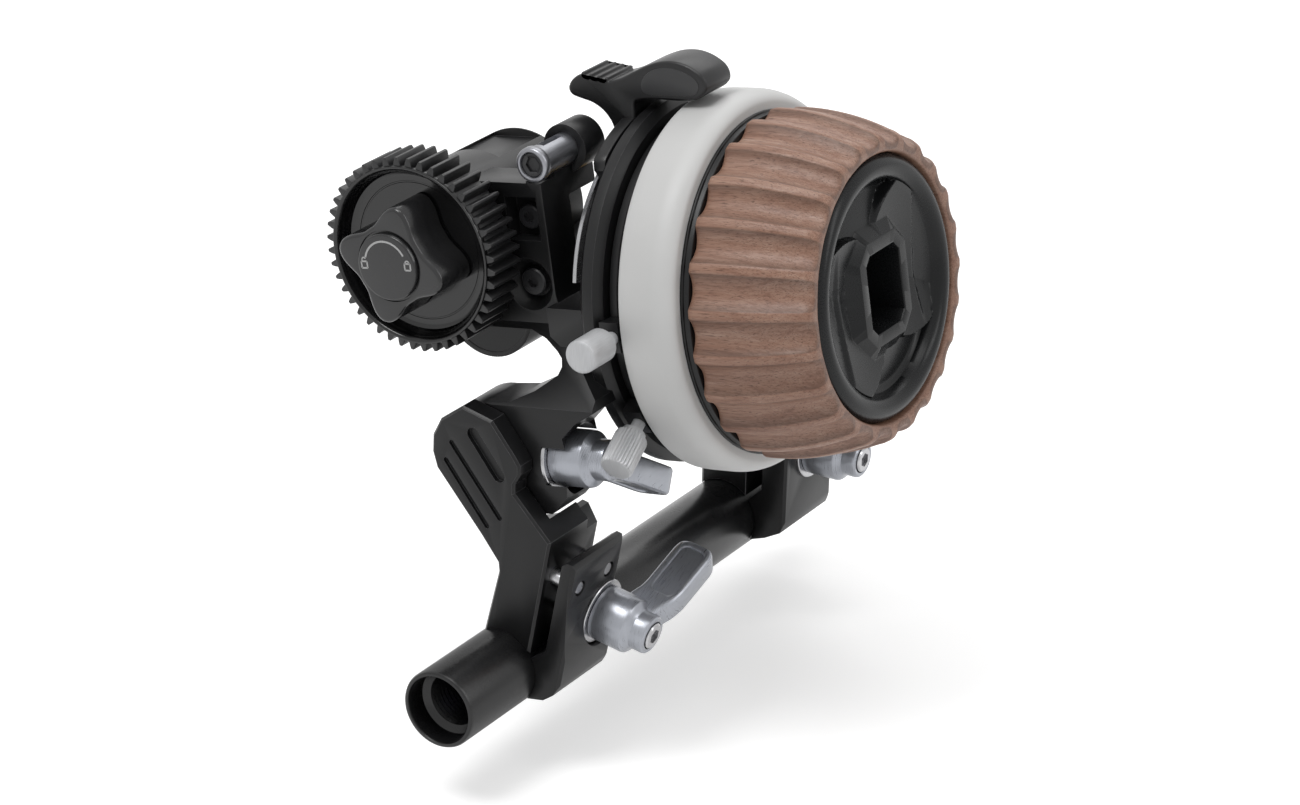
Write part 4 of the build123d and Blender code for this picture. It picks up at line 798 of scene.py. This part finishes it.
# ---------------------------------------------------------------- rod and release pin
def support_rod():
    """Anodised tube with turned rims and a threaded bore at both ends."""
    y0, y1 = reach("support_rod", ROD, 1)
    r = 7.485                                           # a hair less than the CAD's 7.5, to stay in its box
    mouth, thread_r, thread_depth, pitch, turns, bore_depth = 6.4, 5.1, 0.35, 1.0, 17, 24.0
    rim = [(y0 + 4.4, mouth), (y0 + 0.35, mouth), (y0, mouth + 0.22), (y0, r - 0.55), (y0 + 0.16, r - 0.2),
           (y0 + 0.55, r)]
    thread = [(y0 + 5.0, thread_r + 0.45)]
    for k in range(turns):
        crest = y0 + 5.2 + pitch * k
        thread += [(crest, thread_r), (crest + pitch / 2, thread_r + thread_depth)]
    front = [(y0 + bore_depth, 0.0)] + thread[::-1] + rim
    back = [(y0 + y1 - y, rr) for y, rr in front[::-1]]
    rod = lathe(front + back, 96, "y", closed=False)
    solid("rod_tube", rod, ROD, "rod", ["support_rod"], BLACK_ROD, 35)


def release_pin():
    """Release pin: bright front ring, dark screw in its recess and a slot along the top."""
    y0, y1 = reach("release_pin", WHEEL, 1)
    cx = sum(reach("release_pin", WHEEL, 0)) / 2
    cz = sum(reach("release_pin", WHEEL, 2)) / 2
    steps, pin_r, slot_half, slot_floor = 96, 2.9, 0.9, 1.9
    slot_start, slot_end = y0 + 3.5, y0 + 10.0
    circle = [2 * pi * k / steps for k in range(steps)]
    body = [(y1, 2.05), (y1, 2.75), (y1 - 0.15, pin_r), (slot_end + 0.02, pin_r), (slot_end, pin_r),
            (slot_start, pin_r), (slot_start - 0.02, pin_r)]
    head = [(2.0, pin_r), (1.75, 3.2), (1.6, 3.3), (0.6, 3.3), (0.3, 3.24), (0.1, 3.05), (0.0, 2.75),
            (0.0, 2.6), (0.08, 2.42), (0.3, 2.3), (1.2, 2.25)]
    rows = []
    for y, r in body + [(y0 + along, r) for along, r in head]:
        row = []
        for a in circle:
            x, z = r * sin(a), r * cos(a)
            if slot_start <= y <= slot_end and abs(x) < slot_half and z > 0:
                z = min(z, slot_floor)
            row.append((cx + x, y, cz + z))
        rows.append(row)
    pin = skin(rows, last=True)
    solid("pin_release", pin, WHEEL, "release_pin", ["release_pin"], PIN_SILVER, 34)

    face = [(1.15, 2.24), (0.6, 2.24), (0.48, 2.1), (0.48, 1.75)]
    hexagon = [(0.55, 1.45), (0.62, 1.3), (1.1, 1.28)]
    rows = [[(cx + r * sin(a), y0 + along, cz + r * cos(a)) for a in circle] for along, r in face]
    for along, flat in hexagon:
        radii = [flat / cos((a + pi / 6) % (pi / 3) - pi / 6) for a in circle]
        rows.append([(cx + r * sin(a), y0 + along, cz + r * cos(a)) for r, a in zip(radii, circle)])
    solid("pin_screw", skin(rows, last=True), WHEEL, "release_pin", (), SCREW, 34)


# ---------------------------------------------------------------- index lever
def smooth_line(points, hard=()):
    """Closed Catmull-Rom line through points; the numbers in hard stay corners."""
    n, steps = len(points), 4
    made = []
    for i in range(n):
        p0, p1, p2, p3 = (Vector(points[(i + k) % n]) for k in (-1, 0, 1, 2))
        if i in hard:
            p0 = p1
        if (i + 1) % n in hard:
            p3 = p2
        a, b, c = p2 - p0, 2 * p0 - 5 * p1 + 4 * p2 - p3, 3 * p1 - p0 - 3 * p2 + p3
        for k in range(steps):
            t = k / steps
            made.append(tuple(0.5 * (2 * p1 + a * t + b * t * t + c * t**3)))
    return made


def index_lever():
    """Pointer: foot behind the disc, waisted stem, ribbed thumb pad and a nose over the marking ring."""
    over = radius("marking_ring", WHEEL) + 0.55
    y0, y1 = -7.5, 1.5
    foot_x0, foot_x1, foot_r, foot_bore, foot_half = -12.0, -9.35, 33.25, 27.62, 36.0
    stem_z = 30.3
    rib_from, rib_to, ribs = 15.6, 10.6, 4
    stem = [(18.2, stem_z - over), (20.9, stem_z - over), (21.0, -0.9)]
    nose = [(22.4, 0.05), (26.0, 0.25), (31.5, 0.15), (34.6, 0.6), (36.5, 1.9), (36.8, 3.4), (36.2, 4.8),
            (34.9, 5.9), (33.0, 6.9), (30.5, 7.5), (27.6, 7.4), (24.6, 6.6), (21.6, 5.4), (18.8, 4.2),
            (16.6, 3.6)]
    pad = []
    for k in range(ribs):
        x = rib_from + (rib_to - rib_from) * k / (ribs - 1)
        z = 3.75 + 0.28 * k
        pad += [(x + 0.42, z - 0.16), (x + 0.22, z + 0.34), (x - 0.26, z + 0.38), (x - 0.48, z - 0.08)]
    back = [(9.2, 4.3), (7.8, 3.3), (7.1, 1.9), (7.7, 0.7), (9.6, 0.0), (11.9, -0.7), (14.0, -2.1),
            (15.4, -4.0), (16.3, -6.2)]
    window = [(24.0, 1.3), (29.0, 1.1), (33.8, 1.3), (35.3, 2.6), (35.0, 4.0), (33.4, 5.2), (30.4, 6.2),
              (27.2, 6.2), (24.4, 5.0), (23.1, 3.0)]
    outline = [(x + WHEEL_SHIFT, over + z) for x, z in stem + nose + pad + back]
    lever = swapped(prism(smooth_line(outline, hard=(0, 1)), y0, y1, 0.55, 3), (0, 2, 1))
    outline = [(x + WHEEL_SHIFT, over + z) for x, z in window]
    panel = swapped(prism(smooth_line(outline), y0 - 0.14, y0 + 0.5, 0.12, 2), (0, 2, 1))

    steps = 48
    outer, inner = [], []
    for k in range(steps + 1):
        a = radians(foot_half * (2 * k / steps - 1))
        from_end = min(1.0, min(k, steps - k) / 2.0)
        r = foot_r * (0.955 + 0.045 * sqrt(from_end))
        outer.append((r * sin(a), r * cos(a)))
        inner.append((foot_bore * sin(a), foot_bore * cos(a)))
    foot = swapped(prism(outer + inner[::-1], foot_x0, foot_x1, 0.35, 2), (2, 0, 1))
    pointer = merged([lever, foot])
    solid("index_pointer", pointer, WHEEL, "index", ["index_lever"], POINTER, 34)
    solid("index_panel", panel, WHEEL, "index", (), PANEL, 34)


# ---------------------------------------------------------------- build
wood_grip()
marking_ring()
grip_collar()
front_cap()
gear_dish()
lock_knob()
wing_lever("lever_front", FRONT_LEVER, "front_lever", "front_lever", 23.0)
wing_lever("lever_rear", REAR_LEVER, "rear_lever", "rear_lever", 97.0)
wing_lever("lever_head", HEAD_LEVER, "head_lever", "head_lever", -31.0)
stop_screw("stop_plain", STOP_A, 0.0, "stop_a_screw", "stop_screw_a", False)
stop_screw("stop_knurled", STOP_B, 30.6, "stop_b_screw", "stop_screw_b", True)
support_rod()
release_pin()
index_lever()

for name, width in (("main_bracket", 0.3), ("swing_arm", 0.3), ("front_clamp_jaw", 0.3),
                    ("rear_clamp_jaw", 0.3), ("rear_clamp_body", 0.3), ("gearcase", 0.25)):
    dressed(name, width, BLACK)
dressed("drive_gear", 0.12, GEAR_BLACK)

SLOTS = {"black_aluminium": BLACK, "black_rod": BLACK_ROD, "silver_lever": SILVER, "steel": STEEL,
         "black_screw": SCREW, "brass": BRASS, "bearing_steel": GROUND, "inner_gear": STEEL,
         "drive_gear_black": GEAR_BLACK, "knob_black": KNOB_BLACK, "cap_black": CAP_GREY,
         "ring_light": RING_LIGHT, "walnut": WALNUT, "pointer_black": POINTER, "stop_silver": STOP_GREY,
         "pin_silver": PIN_SILVER, "hub_aluminium": HUB}
for part in frame["record"]["subparts"]:
    materials = frame["nodes"][part["node"]].data.materials
    materials.clear()
    materials.append(SLOTS[part["material_slot"]])


# ---------------------------------------------------------------- stage, light and camera
def seen_rays(tree, other, seen):
    """A strength for rays that show the backdrop (camera, gloss, glass), and one for all other rays."""
    path = node(tree, "ShaderNodeLightPath")
    one = node(tree, "ShaderNodeMath", operation="MAXIMUM")
    both = node(tree, "ShaderNodeMath", operation="MAXIMUM")
    tree.links.new(path.outputs["Is Camera Ray"], one.inputs[0])
    tree.links.new(path.outputs["Is Glossy Ray"], one.inputs[1])
    tree.links.new(one.outputs[0], both.inputs[0])
    tree.links.new(path.outputs["Is Transmission Ray"], both.inputs[1])
    strength = node(tree, "ShaderNodeMapRange")
    strength.inputs["To Min"].default_value = other
    strength.inputs["To Max"].default_value = seen
    tree.links.new(both.outputs[0], strength.inputs["Value"])
    return strength.outputs["Result"]


def area(name, centre, azimuth, elevation, distance, size, power):
    """A rectangular lamp that looks at centre from an azimuth and elevation in degrees."""
    data = bpy.data.lights.new(name, "AREA")
    data.shape = "RECTANGLE"
    data.size, data.size_y = size
    data.energy = power
    lamp = bpy.data.objects.new(name, data)
    a, e = radians(azimuth), radians(elevation)
    back = Vector((sin(a) * cos(e), -cos(a) * cos(e), sin(e)))
    lamp.location = centre + back * distance
    lamp.rotation_mode = "QUATERNION"
    lamp.rotation_quaternion = (-back).to_track_quat("-Z", "Y")
    bpy.context.scene.collection.objects.link(lamp)


def stage():
    """White floor and world like the photo's backdrop, and four soft lamps."""
    lo, hi = cad_box
    centre = (lo + hi) / 2
    wide, gap = 6.0, 0.012
    signs = ((-1, -1), (1, -1), (1, 1), (-1, 1))
    corners = [(centre.x + x * wide, centre.y + y * wide, lo.z - gap) for x, y in signs]
    floor_mesh = bpy.data.meshes.new("floor")
    floor_mesh.from_pydata(corners, [], [(0, 1, 2, 3)])
    floor = bpy.data.objects.new("floor", floor_mesh)
    bpy.context.scene.collection.objects.link(floor)
    m, tree, shader = new_material("floor_white")
    shader.inputs["Base Color"].default_value = (0.9, 0.9, 0.9, 1)
    shader.inputs["Roughness"].default_value = 0.9
    shader.inputs["Emission Color"].default_value = (1, 1, 1, 1)
    tree.links.new(seen_rays(tree, 0.0, 0.45), shader.inputs["Emission Strength"])
    floor_mesh.materials.append(m)

    world = bpy.data.worlds.new("studio")
    bpy.context.scene.world = world
    world.use_nodes = True
    tree = world.node_tree
    background = tree.nodes["Background"]
    background.inputs["Color"].default_value = (1, 1, 1, 1)
    tree.links.new(seen_rays(tree, 0.32, 1.0), background.inputs["Strength"])

    area("key", centre, -25, 62, 1.2, (0.5, 0.5), 6.2)
    area("side", centre, 100, 35, 1.3, (0.25, 0.9), 2.8)
    area("rim", centre, 200, 45, 1.3, (0.8, 0.5), 2.6)
    area("top", centre, 35, 85, 1.2, (0.5, 0.5), 2.2)


def camera():
    """Camera at the photograph's own place and direction, closer framed by a longer lens."""
    az, el = radians(35.31), radians(18.66)
    back = Vector((sin(az) * cos(el), -cos(az) * cos(el), sin(el)))
    spot = Vector((373.3, -648.65, 321.9)) * MM
    photo_width, photo_f = 1300, 2201.4                 # pixels of the photo, like the next four
    middle_x, middle_y = 332.24, 328.55
    aim_x, aim_y = 482.0, 528.0
    closer, sensor = 1.86, 36.0
    right = back.cross(Vector((0, 0, 1))).normalized() * -1
    up = back.cross(right)
    aim = (-back * photo_f + right * (aim_x - middle_x) - up * (aim_y - middle_y)).normalized()
    data = bpy.data.cameras.new("camera")
    data.sensor_width = sensor
    data.lens = closer * photo_f * sensor / photo_width
    data.clip_start, data.clip_end = 0.05, 20
    cam = bpy.data.objects.new("camera", data)
    cam.location = spot
    cam.rotation_mode = "QUATERNION"
    cam.rotation_quaternion = (-back).rotation_difference(aim) @ (-back).to_track_quat("-Z", "Y")
    bpy.context.scene.collection.objects.link(cam)
    bpy.context.scene.camera = cam


stage()
camera()
bpy.context.scene.view_settings.view_transform = "Standard"
